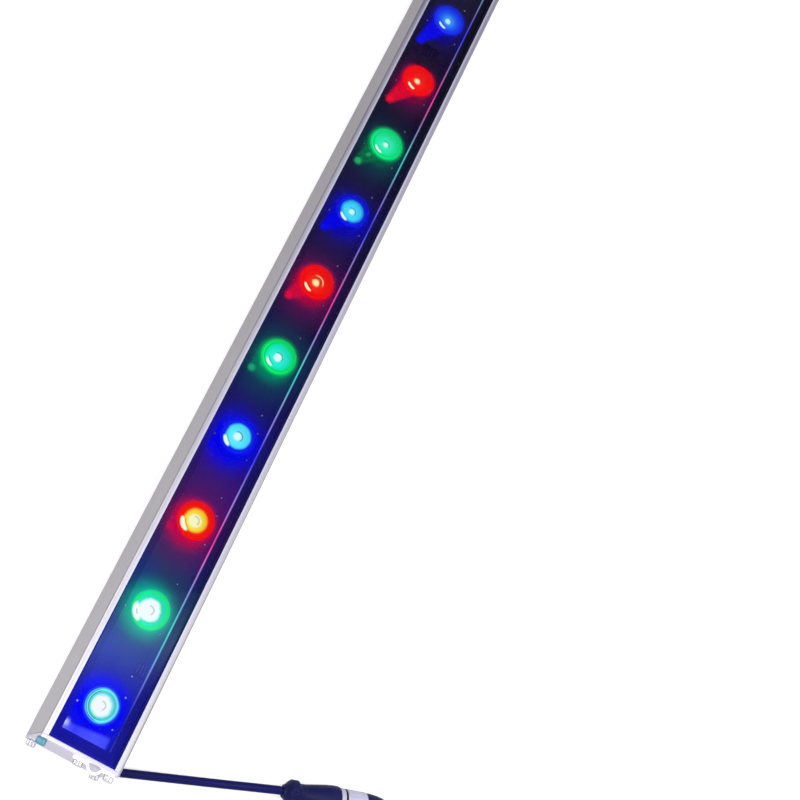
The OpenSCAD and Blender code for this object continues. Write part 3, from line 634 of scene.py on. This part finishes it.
def housing_light_and_shade(col, x, y, z):
    # painted light and shade: the rims lose light away from the viewer and take a painted lilac highlight along their
    # inner edge; the chamber walls are painted near-black shade
    lx, ly, t = sight()
    rim = step(85.4, 85.8, z)
    fade = ramp(t, [(0.15, (1.0, 1.0, 1.0)), (0.40, (0.80, 0.79, 0.83)), (0.62, (0.66, 0.64, 0.72)), (0.84, (0.50, 0.48, 0.60))])
    col = cmix(rim, col, cmul(col, fade))
    col = cmix(rim * clamp((20.9 - vabs(y)) / 0.8) * 0.5, col, cscale(lin(206, 210, 238), 0.9))
    inside = clamp((20.9 - vabs(y)) / 0.2) * step(79.0, 78.0, z)
    return cmix(inside, col, (0.01, 0.01, 0.03))


def plate_painted_shade(col, x, y, z):
    g = V.tree.nodes.new("ShaderNodeNewGeometry")
    nz = split(V(g.outputs["Normal"]))[2]
    # painted shade: faces of the plate that turn upward are darkened towards a lilac grey
    return cmix(step(0.6, 0.9, nz) * 0.45, col, lin(150, 150, 172))


mats["anodised_aluminium"] = anodised("anodised_aluminium", lin(176, 173, 176), lin(206, 203, 208), 0.40, emit=ledge_emission, paint_light_and_shade=housing_light_and_shade)
# the end plate's lighter lilac colour is partly its own finish and partly painted light on its end face
mats["plate_aluminium"] = anodised("plate_aluminium", lin(200, 194, 214), lin(230, 224, 242), 0.34, lines=(1.2, 0.05, 1.8), paint_light_and_shade=plate_painted_shade)
mats["cast_aluminium"] = anodised("cast_aluminium", lin(150, 150, 153), lin(182, 182, 186), 0.5, lines=(0.5, 0.5, 0.5))
mats["foot_aluminium"] = anodised("foot_aluminium", lin(172, 172, 175), lin(204, 204, 208), 0.42, lines=(0.02, 1.4, 1.4))
mats["stainless"] = steel("stainless", lin(205, 206, 206), lin(240, 240, 240), 0.2)
mats["zinc_steel"] = steel("zinc_steel", lin(184, 187, 192), lin(222, 225, 230), 0.26, chamber=True)
mats["brass_pins"] = steel("brass_pins", lin(200, 160, 84), lin(232, 196, 118), 0.24)
mats["black_steel"] = steel("black_steel", lin(34, 34, 37), lin(62, 62, 66), 0.38, chamber=True)
mats["teal_steel"] = steel("teal_steel", lin(0, 112, 138), lin(24, 176, 196), 0.3, scale=(0.2, 1.6, 1.6), metal=0.35)
mats["grey_silicone"] = plastic("grey_silicone", lin(176, 176, 190), lin(198, 198, 210), 0.7, 3.0, 0.1, wear=0.0)
mats["holder_plastic"] = None
mats["driver_mask"] = plastic("driver_mask", lin(12, 74, 38), lin(20, 98, 52), 0.32, 2.0, 0.04, wear=0.1, coat=0.4)
mats["ferrite"] = plastic("ferrite", lin(52, 52, 55), lin(78, 78, 82), 0.62, 5.0, 0.2)
mats["capacitor_sleeve"] = plastic("capacitor_sleeve", lin(24, 26, 62), lin(40, 42, 88), 0.3, 1.5, 0.03)
mats["chip_black"] = plastic("chip_black", lin(20, 20, 22), lin(36, 36, 38), 0.55, 7.0, 0.15)
mats["terminal_green"] = plastic("terminal_green", lin(30, 120, 60), lin(48, 150, 80), 0.42, 3.0, 0.05)
mats["black_nylon"] = plastic("black_nylon", lin(20, 20, 24), lin(38, 38, 44), 0.46, 5.0, 0.15)
mats["black_rubber"] = plastic("black_rubber", lin(14, 14, 15), lin(28, 28, 30), 0.6, 4.0, 0.1, wear=0.0)
mats["connector_black"] = plastic("connector_black", lin(10, 13, 60), lin(17, 22, 80), 0.42, 5.0, 0.12, spec=0.16)
mats["cap_rubber"] = plastic("cap_rubber", lin(12, 15, 60), lin(20, 25, 78), 0.52, 4.0, 0.12, wear=0.12, spec=0.2)
mats["grey_nylon"] = plastic("grey_nylon", lin(176, 175, 200), lin(204, 203, 224), 0.48, 5.0, 0.08)
mats["white_nylon"] = plastic("white_nylon", lin(214, 214, 205), lin(236, 236, 228), 0.5, 4.0, 0.06)
# the header is near-black with the board's painted stray light as emission
mats["header_black"] = plastic("header_black", lin(5, 5, 8), lin(10, 10, 16), 0.5, 4.0, 0.1, spec=0.04, wear=0.0,
                               glow=lambda soft: cscale(board_light(True), 0.4 + 0.4 * soft))


def cable_material():
    """Extruded jacket: long soft waves from the lay of the cores, a few rubbed spots."""
    m = new_material("cable_jacket")
    p = place()
    big = noise(p, 0.05, 2.0)
    fine = noise(p, 2.4, 3.0)
    scuff = step(0.64, 0.74, noise(p, 0.35, 4.0, 0.7))
    col = cmix(big, lin(10, 11, 70), lin(17, 19, 92))
    col = cmix(scuff * 0.25, col, lin(52, 56, 104))
    output(principled(col, 0.42 + 0.12 * (fine - 0.5) + scuff * 0.15, spec=0.12, normal=bump(fine + big * 2.0, 0.10, 0.0004)))
    return m


mats["cable_jacket"] = cable_material()


def core_material():
    """Insulated cores: the colour goes by the place of the core."""
    m = new_material("wire_cores")
    p = place()
    x, y, z = split(p)
    k = V.op("FRACT", (y + 40.0) / 7.6) * 4.0
    col = ramp(k / 4.0, [(0.0, lin(150, 30, 34)), (0.24, lin(150, 30, 34)), (0.26, lin(28, 62, 150)), (0.49, lin(28, 62, 150)),
                         (0.51, lin(24, 120, 60)), (0.74, lin(24, 120, 60)), (0.76, lin(36, 36, 38)), (1.0, lin(36, 36, 38))])
    fine = noise(p, 2.0, 2.0)
    # the cores above the emitter board stand in its blue light: there their colour is painted near-black shade and the
    # board's painted blue light is added as emission
    within = in_chamber(x, y, z)
    col = cmix(within, cscale(col, 0.8 + 0.4 * fine), (0.001, 0.001, 0.006))
    glow = cscale(cmix(0.12, board_light(True), cscale(ramp(k / 4.0, [(0.0, lin(90, 70, 230)), (0.5, lin(60, 80, 240)), (1.0, lin(40, 40, 200))]), 1.0)),
                  within * (0.30 + 0.9 * noise(p, 0.8, 2.0)))
    output(principled(col, 0.4, spec=0.25, emit=glow, normal=bump(fine, 0.05, 0.0002)))
    return m


mats["wire_cores"] = core_material()

for slot_name, kind in (("lens_blue", BLUE), ("lens_green", GREEN), ("lens_red", RED)):
    mats[slot_name] = lens_material(slot_name, kind)
for slot_name, kind in (("emitter_blue", BLUE), ("emitter_green", GREEN), ("emitter_red", RED)):
    mats[slot_name] = emitter_material(slot_name, kind)


def holder_material():
    """Dark ring round each lens: its top edge is lit by the lens, its side shows the same light as the board behind it."""
    m = new_material("holder_plastic")
    x, y, z = split(place())
    lx, ly, t = sight()
    total = board_light(True)
    top = step(76.7, 77.1, z)
    for kind in (BLUE, GREEN, RED):
        px = led_offset(x, kind)
        r = root(px * px + y * y)
        total = cmix(top * clamp((11.6 - r) / 0.6) * clamp((t - 0.24) / 0.06) * 0.8, total, flange_glow(kind, t))
    fine = voronoi(place(), 6.0)
    output(principled((0.0012, 0.0012, 0.002), 0.5, spec=0.03, emit=total, normal=bump(fine, 0.1, 0.0002)))
    return m


mats["holder_plastic"] = holder_material()


def board_material():
    """Near-black solder mask with buried tracks, lit by the emitters round it."""
    m = new_material("board_mask")
    p = place()
    x, y, z = split(p)
    light = board_light()
    # tracks: two rails along the board and short links to every emitter
    rails = clamp((0.9 - vabs(vabs(y) - 17.2)) / 0.15)
    fr = V.op("FRACT", x / PITCH + 0.0)
    links = clamp((0.8 - vabs(vabs(fr - 0.5) * PITCH - 14.0)) / 0.15) * clamp((17.2 - vabs(y)) / 0.3) * clamp((vabs(y) - 6.0) / 0.3)
    track = vmin(rails + links, 1.0)
    weave = noise(vec(x * 0.8, y * 0.8, 0.0), 2.0, 3.0)
    # the strip between the first emitter and the end block is lit through the lens flange
    edge = -480.9 + (12.7 - y) * 0.113
    light = cmix(clamp((edge + 4.0 - x) / 8.0) * 0.4, light, lin(10, 10, 196))
    strip = clamp((edge - x) / 2.0) * clamp((x + 486.2) / 0.3) * clamp((14.5 - y) / 1.6) * clamp((y + 14.4) / 1.8)
    sx, sy = x + 481.6, y - 11.6
    dot = vexp(-(sx * sx + sy * sy) / 2.6)
    patch = cadd(cscale(ramp(clamp((y + 15.0) / 30.0), [(0.0, lin(50, 60, 176)), (0.35, lin(72, 80, 190)), (0.7, lin(54, 58, 180)), (1.0, lin(104, 110, 214))]), strip * (0.7 + 0.8 * noise(p, 0.22, 3.0))),
                 cscale(lin(190, 196, 255), dot))
    lx, ly, t = sight()
    light = cadd(cscale(light, 0.94 + 0.12 * weave + track * 0.06), cscale(patch, clamp((0.5 - t) / 0.2)))
    col = cmix(track * 0.6, lin(3, 3, 8), lin(7, 7, 16))
    output(principled(col, 0.34 + 0.1 * weave, spec=0.03, emit=light, normal=bump(track + weave * 0.1, 0.25, 0.0001)))
    return m


mats["board_mask"] = board_material()


def seal_material():
    """Black silicone bead: picks up a little blue from the near emitters, bright along the light opening."""
    m = new_material("black_silicone")
    p = place()
    x, y, z = split(p)
    lx, ly, t = sight()
    glow = ramp(t, [(0.14, lin(24, 18, 160)), (0.22, lin(18, 16, 158)), (0.27, lin(12, 16, 120)), (0.32, lin(14, 14, 84)), (0.40, lin(20, 8, 84)), (0.55, lin(14, 5, 52)),
                    (0.70, lin(10, 4, 34)), (0.84, lin(8, 4, 28))])
    for kind, c in ((GREEN, lin(0, 58, 84)), (BLUE, lin(14, 14, 120)), (RED, lin(50, 6, 74))):
        px = led_offset(x, kind)
        g = vexp(-(px * px) / 420.0)
        glow = cmix(g * 0.6 * clamp((0.75 - t) / 0.4), glow, c)
    ay = vabs(y)
    line = clamp((14.54 - ay) / 0.12) * clamp((ay - 14.0) / 0.1) * step(-486.9, -486.0, x) * step(486.9, 486.0, x) * clamp(-y)
    fine = noise(p, 1.3, 3.0)
    through = clamp(y * 2.0) * step(19.6, 18.6, ay) * 0.72
    glow = cmix(through, glow, cscale(board_light(True), 0.82))
    light = cmix(line, cscale(glow, 0.85 + 0.3 * fine), line_light(x))
    output(principled((0.0015, 0.0015, 0.002), 0.42 + 0.2 * (fine - 0.5), spec=0.03, emit=light, normal=bump(fine, 0.15, 0.0003)))
    return m


mats["black_silicone"] = seal_material()


def glass_material():
    """Clear toughened glass. What it mirrors is painted as emission, worked out from the mirror direction: a dim room
    with a pale panel over the near end, and brighter surroundings towards the horizon."""
    m = new_material("clear_glass")
    p = place()
    x, y, z = split(p)
    tc = V.tree.nodes.new("ShaderNodeTexCoord")
    rx, ry, rz = split(V(tc.outputs["Reflection"]))
    rz = vmax(rz, 0.05)
    a, b = rx / rz, ry / rz
    line = a + b * 0.47
    panel = step(0.1475, 0.1430, line) * step(0.055, 0.115, line) * (0.75 + 0.5 * noise(vec(a * 7.0, b * 7.0, 0.0), 1.0, 2.0)) \
        * (0.20 + 0.80 * clamp((0.138 - line) / 0.035))
    low = step(1.1, 3.2, root(a * a + b * b))
    env = 0.04 + panel * 1.9 + low * 0.6
    fr = V.tree.nodes.new("ShaderNodeFresnel")
    fr.inputs["IOR"].default_value = 1.5
    top = step(84.2, 84.45, z)
    g = V.tree.nodes.new("ShaderNodeNewGeometry")
    front = 1.0 - V(g.outputs["Backfacing"])
    # uneven strength of the painted reflection
    patchy_reflection = 0.8 + 0.4 * noise(vec(x * 0.03, y * 0.2, 0.0), 1.0, 4.0)
    k = V(fr.outputs[0]) * env * front * patchy_reflection * (0.15 + 0.85 * top)
    mirror = cscale(cmix(panel, lin(190, 196, 214), lin(176, 218, 230)), k)
    em = V.tree.nodes.new("ShaderNodeEmission")
    V.link(em.inputs[0], mirror)
    tr = V.tree.nodes.new("ShaderNodeBsdfTransparent")
    side = 1.0 - clamp((vabs(y) - 18.35) / 0.05) * 0.35
    V.link(tr.inputs[0], cscale(lin(250, 252, 254), side))
    gl = V.tree.nodes.new("ShaderNodeBsdfGlossy")
    gl.inputs["Roughness"].default_value = 0.06
    add = V.tree.nodes.new("ShaderNodeAddShader")
    V.tree.links.new(tr.outputs[0], add.inputs[0])
    V.tree.links.new(em.outputs[0], add.inputs[1])
    mix = V.tree.nodes.new("ShaderNodeMixShader")
    V.link(mix.inputs[0], clamp(V(fr.outputs[0]) * front * 0.02, 0.0, 0.5))
    V.tree.links.new(add.outputs[0], mix.inputs[1])
    V.tree.links.new(gl.outputs[0], mix.inputs[2])
    output(V(mix.outputs[0]))
    return m


mats["clear_glass"] = glass_material()

slots = {s["node"]: s["material_slot"] for s in frame["record"]["subparts"]}
for name, ob in nodes.items():
    ob.data.materials.clear()
    ob.data.materials.append(mats[slots[name]])


# ------------------------------------------------------------------ mesh pieces
def make_object(name, bm, mat, body, node=None, smooth=35.0):
    bmesh.ops.remove_doubles(bm, verts=bm.verts[:], dist=1e-7)
    bmesh.ops.recalc_face_normals(bm, faces=bm.faces[:])
    me = bpy.data.meshes.new(name)
    bm.to_mesh(me)
    bm.free()
    me.materials.append(mat)
    ob = bpy.data.objects.new(name, me)
    scene.collection.objects.link(ob)
    lim = math.cos(math.radians(smooth))
    for poly in me.polygons:
        poly.use_smooth = True
    me.update()
    ob_bm = bmesh.new()
    ob_bm.from_mesh(me)
    for e in ob_bm.edges:
        if len(e.link_faces) == 2 and e.link_faces[0].normal.dot(e.link_faces[1].normal) < lim:
            e.smooth = False
    ob_bm.to_mesh(me)
    ob_bm.free()
    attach(ob, body)
    if node:
        for n in (node if isinstance(node, (list, tuple)) else [node]):
            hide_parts(n)
    return ob


def ring_stack(bm, rings, place_at):
    """Closed body from a list of rings; each ring is a list of (x, y, z), the first and last are closed with a fan."""
    loops = []
    for ring in rings:
        loops.append([bm.verts.new(place_at @ (Vector(p) * MM)) for p in ring])
    for a, b in zip(loops, loops[1:]):
        n = len(a)
        for i in range(n):
            bm.faces.new((a[i], a[(i + 1) % n], b[(i + 1) % n], b[i]))
    for loop, flip in ((loops[0], True), (loops[-1], False)):
        c = sum((v.co for v in loop), Vector()) / len(loop)
        cv = bm.verts.new(c)
        n = len(loop)
        for i in range(n):
            f = (loop[i], loop[(i + 1) % n], cv)
            bm.faces.new(f[::-1] if flip else f)


def circle(r, z, n=72, off=0.0):
    return [(r * math.cos(2 * math.pi * (i + off) / n), r * math.sin(2 * math.pi * (i + off) / n), z) for i in range(n)]


def knurled(r, z, depth, n=72):
    out = []
    for i in range(n):
        k = i % 3
        rr = r - (depth if k == 0 else 0.0)
        a = 2 * math.pi * i / n
        out.append((rr * math.cos(a), rr * math.sin(a), z))
    return out


def hexagon(across, z, n=72):
    a0 = across / 2.0
    out = []
    for i in range(n):
        a = 2 * math.pi * i / n
        f = (a + math.pi / 6) % (math.pi / 3) - math.pi / 6
        r = a0 / math.cos(f)
        out.append((r * math.cos(a), r * math.sin(a), z))
    return out


def cap_screw(bm, at, head_r=2.75, head_h=3.0, shank_r=1.3, shank=12.0):
    """Knurled socket cap screw, head towards local +Z from z = 0."""
    rings = [circle(shank_r * 0.7, -shank), circle(shank_r, -shank + 0.4), circle(shank_r, -0.02), circle(shank_r, 0.0),
             circle(head_r - 0.2, 0.0), circle(head_r - 0.05, 0.12), knurled(head_r, 0.3, 0.0), knurled(head_r, 0.42, 0.16),
             knurled(head_r, head_h - 0.62, 0.16), knurled(head_r, head_h - 0.48, 0.0), circle(head_r - 0.04, head_h - 0.34),
             circle(head_r - 0.14, head_h - 0.16), circle(head_r - 0.34, head_h - 0.03), circle(head_r - 0.5, head_h),
             circle(1.74, head_h), circle(1.62, head_h - 0.08), hexagon(2.5, head_h - 0.26), hexagon(2.5, head_h - 1.5), circle(0.5, head_h - 1.75)]
    ring_stack(bm, rings, at)


def facing(pos, axis, roll=0.0):
    """Matrix with local +Z along axis at pos (mm)."""
    q = Vector(axis).to_track_quat("Z", "Y")
    return Matrix.Translation(Vector(pos) * MM) @ q.to_matrix().to_4x4() @ Matrix.Rotation(roll, 4, "Z")


screw_groups = {
    "cap_screws_cable": ([(-496.5, -19.9, 77.0), (-495.5, 19.2, 44.2), (-495.5, -19.2, 44.2)], (-1, 0, 0), 3.0, 12.0, "stainless"),
    "cap_screws_far": ([(495.5, 19.9, 77.0), (495.5, -19.9, 77.0), (495.5, 19.2, 44.2), (495.5, -19.2, 44.2)], (1, 0, 0), 3.0, 12.0, "stainless"),
    "earth_screw": ([(-495.5, 19.9, 77.0)], (-1, 0, 0), 3.0, 12.0, "teal_steel"),
    "strap_screw": ([(-496.5, -2.7, 73.5)], (-1, 0, 0), 2.6, 6.5, "stainless"),
}
for name, (spots, axis, head_h, shank, slot_name) in screw_groups.items():
    bm = bmesh.new()
    for i, s in enumerate(spots):
        cap_screw(bm, facing(s, axis, 0.3 + 0.9 * i), head_h=head_h, shank=shank)
    make_object(name + "_knurled", bm, mats[slot_name], "bar", name, 28.0)


def solder_pads():
    """Small solder joints beside every emitter, with painted glints as emission on their tops."""
    bm = bmesh.new()
    for i in range(18):
        cx = (i - 8.5) * PITCH
        for k, (dx, dy) in enumerate(((-2.2, 11.6), (10.7, -11.0), (-6.8, -12.3), (21.7, -8.7))):
            jx, jy = random.uniform(-0.3, 0.3), random.uniform(-0.3, 0.3)
            r = random.uniform(0.55, 0.8)
            x0, y0 = cx + dx + jx, dy + jy
            if abs(x0) < 12 or x0 < -485:
                continue
            at = Matrix.Translation(Vector((x0, y0, 67.58)) * MM)
            ring_stack(bm, [circle(r, 0.0, 16), circle(r * 0.95, 0.12, 16), circle(r * 0.7, 0.3, 16), circle(r * 0.35, 0.42, 16)], at)
    m = new_material("solder")
    p = place()
    x, y, z = split(p)
    lx, ly, t = sight()
    shine = ramp(t, [(0.2, lin(150, 150, 255)), (0.26, lin(120, 120, 250)), (0.29, lin(60, 70, 160)), (0.36, lin(62, 40, 104)), (0.5, lin(30, 26, 70)), (0.84, lin(30, 28, 50))])
    output(principled(lin(112, 112, 120), 0.3, 1.0, emit=cscale(shine, step(67.7, 67.95, z)), normal=bump(noise(p, 2.0), 0.1, 0.0002)))
    make_object("solder_joints", bm, m, "bar", None, 50.0)


solder_pads()


def slot_bead():
    """Silicone bead that closes the slot where the four feed wires come up through the board."""
    def outline(hx, hy, z, n=48):
        pts = []
        for i in range(n):
            c, q = math.cos(2 * math.pi * i / n), math.sin(2 * math.pi * i / n)
            wave = 1.0 + 0.02 * math.sin(5 * 2 * math.pi * i / n + 0.7)
            pts.append((math.copysign(abs(c) ** 0.45, c) * hx * wave, math.copysign(abs(q) ** 0.3, q) * hy * wave, z))
        return pts

    bm = bmesh.new()
    at = Matrix.Translation(Vector((-443.0, -12.55, 0.0)) * MM)
    ring_stack(bm, [outline(1.85, 4.1, 66.3), outline(1.9, 4.15, 67.2), outline(1.8, 4.05, 67.55), outline(1.4, 3.6, 67.8), outline(0.7, 2.4, 67.9)], at)
    m = new_material("slot_bead")
    fine = noise(place(), 1.2, 3.0)
    # near-black bead carrying the board's painted stray light as emission
    output(principled(lin(4, 4, 10), 0.45 + 0.2 * (fine - 0.5), spec=0.06, emit=cscale(board_light(True), 0.55 + 0.5 * fine), normal=bump(fine, 0.2, 0.0003)))
    make_object("feed_slot_bead", bm, m, "bar", None, 60.0)


slot_bead()


# ------------------------------------------------------------------ cable
def smooth_cable():
    """Rings of the CAD tube are found by grouping its vertices in their order; their centres are returned for tube() to
    resample and round.
    """
    me = nodes["supply_cable"].data
    bm = bmesh.new()
    bm.from_mesh(me)
    bmesh.ops.remove_doubles(bm, verts=bm.verts[:], dist=2e-6)
    bm.verts.ensure_lookup_table()
    # the end cap with the highest vertices gives the first ring
    zmax = max(v.co.z for v in bm.verts)
    ring = [v for v in bm.verts if v.co.z > zmax - 1e-5]
    used = set(v.index for v in ring)
    centres = []
    while ring:
        outline = [v for v in ring]
        c = sum((v.co for v in outline), Vector()) / len(outline)
        centres.append(c)
        nxt = set()
        for v in ring:
            for e in v.link_edges:
                o = e.other_vert(v)
                if o.index not in used:
                    nxt.add(o)
        ring = list(nxt)
        used.update(v.index for v in ring)
    bm.free()
    return centres


def tube(name, pts, radius, mat, body, node, n=32, sub=3):
    """Round tube through points, with rotation-minimising frames."""
    # Catmull-Rom refinement
    fine = []
    for i in range(len(pts) - 1):
        p0 = pts[max(i - 1, 0)]
        p1, p2 = pts[i], pts[i + 1]
        p3 = pts[min(i + 2, len(pts) - 1)]
        for k in range(sub):
            s = k / sub
            fine.append(0.5 * ((2 * p1) + (p2 - p0) * s + (2 * p0 - 5 * p1 + 4 * p2 - p3) * s * s + (3 * p1 - p0 - 3 * p2 + p3) * s ** 3))
    fine.append(pts[-1])
    t0 = (fine[1] - fine[0]).normalized()
    u = t0.orthogonal().normalized()
    rings = []
    for i, p in enumerate(fine):
        t1 = (fine[min(i + 1, len(fine) - 1)] - fine[max(i - 1, 0)]).normalized()
        u = (u - t1 * u.dot(t1)).normalized()
        w = t1.cross(u)
        rings.append([tuple((p + (u * math.cos(2 * math.pi * k / n) + w * math.sin(2 * math.pi * k / n)) * radius) / MM) for k in range(n)])
    bm = bmesh.new()
    ring_stack(bm, rings, Matrix.Identity(4))
    return make_object(name, bm, mat, body, node, 60.0)


centres = smooth_cable()
cable_ok = len(centres) > 20 and max((a - b).length for a, b in zip(centres, centres[1:])) < 0.09
if cable_ok:
    tube("supply_cable_jacket", centres, 2.47 * MM, mats["cable_jacket"], "bar", "supply_cable")


# ------------------------------------------------------------------ floor, light and camera
bm = bmesh.new()
bmesh.ops.create_grid(bm, x_segments=2, y_segments=2, size=8.0)
me = bpy.data.meshes.new("floor")
bm.to_mesh(me)
bm.free()
floor = bpy.data.objects.new("floor", me)
floor.location = (0, 0, -0.0006)
scene.collection.objects.link(floor)
m = new_material("pale_floor")
lp = V.tree.nodes.new("ShaderNodeLightPath")
cam_ray = V(lp.outputs["Is Camera Ray"])
mottle = noise(place(), 0.002, 2.0)
paper = cmix(mottle, (0.80, 0.80, 0.80), (0.84, 0.84, 0.84))
diff = V.tree.nodes.new("ShaderNodeBsdfDiffuse")
V.link(diff.inputs[0], cscale(paper, 0.55 + 0.45 * cam_ray))
em = V.tree.nodes.new("ShaderNodeEmission")
V.link(em.inputs[0], (1.0, 1.0, 1.0, 1.0))
fx = split(V(V.tree.nodes.new("ShaderNodeTexCoord").outputs["Object"]))[0]
V.link(em.inputs[1], cam_ray * 0.38 + V(lp.outputs["Is Glossy Ray"]) * (0.34 - 0.24 * clamp((fx + 0.45) / 0.4)))
add = V.tree.nodes.new("ShaderNodeAddShader")
V.tree.links.new(diff.outputs[0], add.inputs[0])
V.tree.links.new(em.outputs[0], add.inputs[1])
output(V(add.outputs[0]))
me.materials.append(m)

world = bpy.data.worlds.new("studio")
scene.world = world
world.use_nodes = True
V.tree = world.node_tree
V.tree.nodes.clear()
tc = V.tree.nodes.new("ShaderNodeTexCoord")
dx, dy, dz = split(V(tc.outputs["Generated"]))
lp = V.tree.nodes.new("ShaderNodeLightPath")
up = ramp(clamp(dz), [(0.0, (0.46, 0.45, 0.46)), (0.55, (0.44, 0.44, 0.46)), (0.86, (0.60, 0.60, 0.64)), (0.96, (0.92, 0.92, 0.97)), (1.0, (1.05, 1.05, 1.1))])
sides = clamp(1.0 - dz * 1.4)
up = cadd(up, cscale(vec(0.44, 0.41, 0.47), clamp(-dx) * sides))
up = cadd(up, cscale(vec(0.55, 0.55, 0.62), clamp(-dy) * sides))
bg = V.tree.nodes.new("ShaderNodeBackground")
V.link(bg.inputs[0], cmix(V(lp.outputs["Is Camera Ray"]), up, (1.0, 1.0, 1.0)))
bg.inputs[1].default_value = 1.0
wo = V.tree.nodes.new("ShaderNodeOutputWorld")
V.tree.links.new(bg.outputs[0], wo.inputs[0])


def softbox(name, loc, target, size, power, color=(1, 1, 1)):
    li = bpy.data.lights.new(name, "AREA")
    li.shape = "RECTANGLE"
    li.size, li.size_y = size
    li.energy = power
    li.color = color
    ob = bpy.data.objects.new(name, li)
    ob.location = loc
    ob.rotation_mode = "QUATERNION"
    ob.rotation_quaternion = (Vector(target) - Vector(loc)).to_track_quat("-Z", "Y")
    scene.collection.objects.link(ob)
    return ob


softbox("key", (-0.7, 0.5, 1.9), (-0.2, 0.0, 0.0), (1.6, 1.6), 26.0, (1.0, 0.99, 1.0))
softbox("fill", (0.9, -1.2, 1.6), (0.0, 0.0, 0.0), (1.8, 1.8), 12.0, (0.98, 0.98, 1.0))

cam_data = bpy.data.cameras.new("camera")
cam = bpy.data.objects.new("camera", cam_data)
scene.collection.objects.link(cam)
scene.camera = cam
cam_data.sensor_fit = "HORIZONTAL"
cam_data.sensor_width = 36.0
cam_data.lens = 63.073
SHIFT = (0.12602, -0.12529)
cam_data.shift_x, cam_data.shift_y = SHIFT
cam_data.clip_start, cam_data.clip_end = 0.01, 50.0
right = Vector((0.40912229, -0.84472727, 0.34504318))
down = Vector((-0.80321671, -0.51281799, -0.30308518))
ahead = Vector((0.43296867, -0.15314555, -0.88830433))
rot = Matrix((right, -down, -ahead)).transposed()
cam.matrix_world = Matrix.Translation(Vector((-0.571245, 0.132843, 0.820989))) @ rot.to_4x4()


def centred_elsewhere(path_name, amount):
    """The lens shift belongs to the camera's own place; further from the object the picture is centred."""
    fc = cam_data.driver_add(path_name)
    d = fc.driver
    d.type = "AVERAGE"
    var = d.variables.new()
    var.name = "gap"
    var.type = "LOC_DIFF"
    var.targets[0].id = cam
    var.targets[1].id = floor
    for mod in list(fc.modifiers):
        fc.modifiers.remove(mod)
    fc.extrapolation = "CONSTANT"
    for px, py in ((1.0, amount), (1.3, amount), (1.6, 0.0), (2.0, 0.0)):
        k = fc.keyframe_points.insert(px, py)
        k.interpolation = "LINEAR"


centred_elsewhere("shift_x", SHIFT[0])
centred_elsewhere("shift_y", SHIFT[1])

scene.view_settings.view_transform = "Standard"
scene.view_settings.look = "None"
scene.view_settings.exposure = 0.0
scene.cycles.use_denoising = True
scene.cycles.max_bounces = 8
scene.cycles.transparent_max_bounces = 16
scene.cycles.sample_clamp_indirect = 4.0
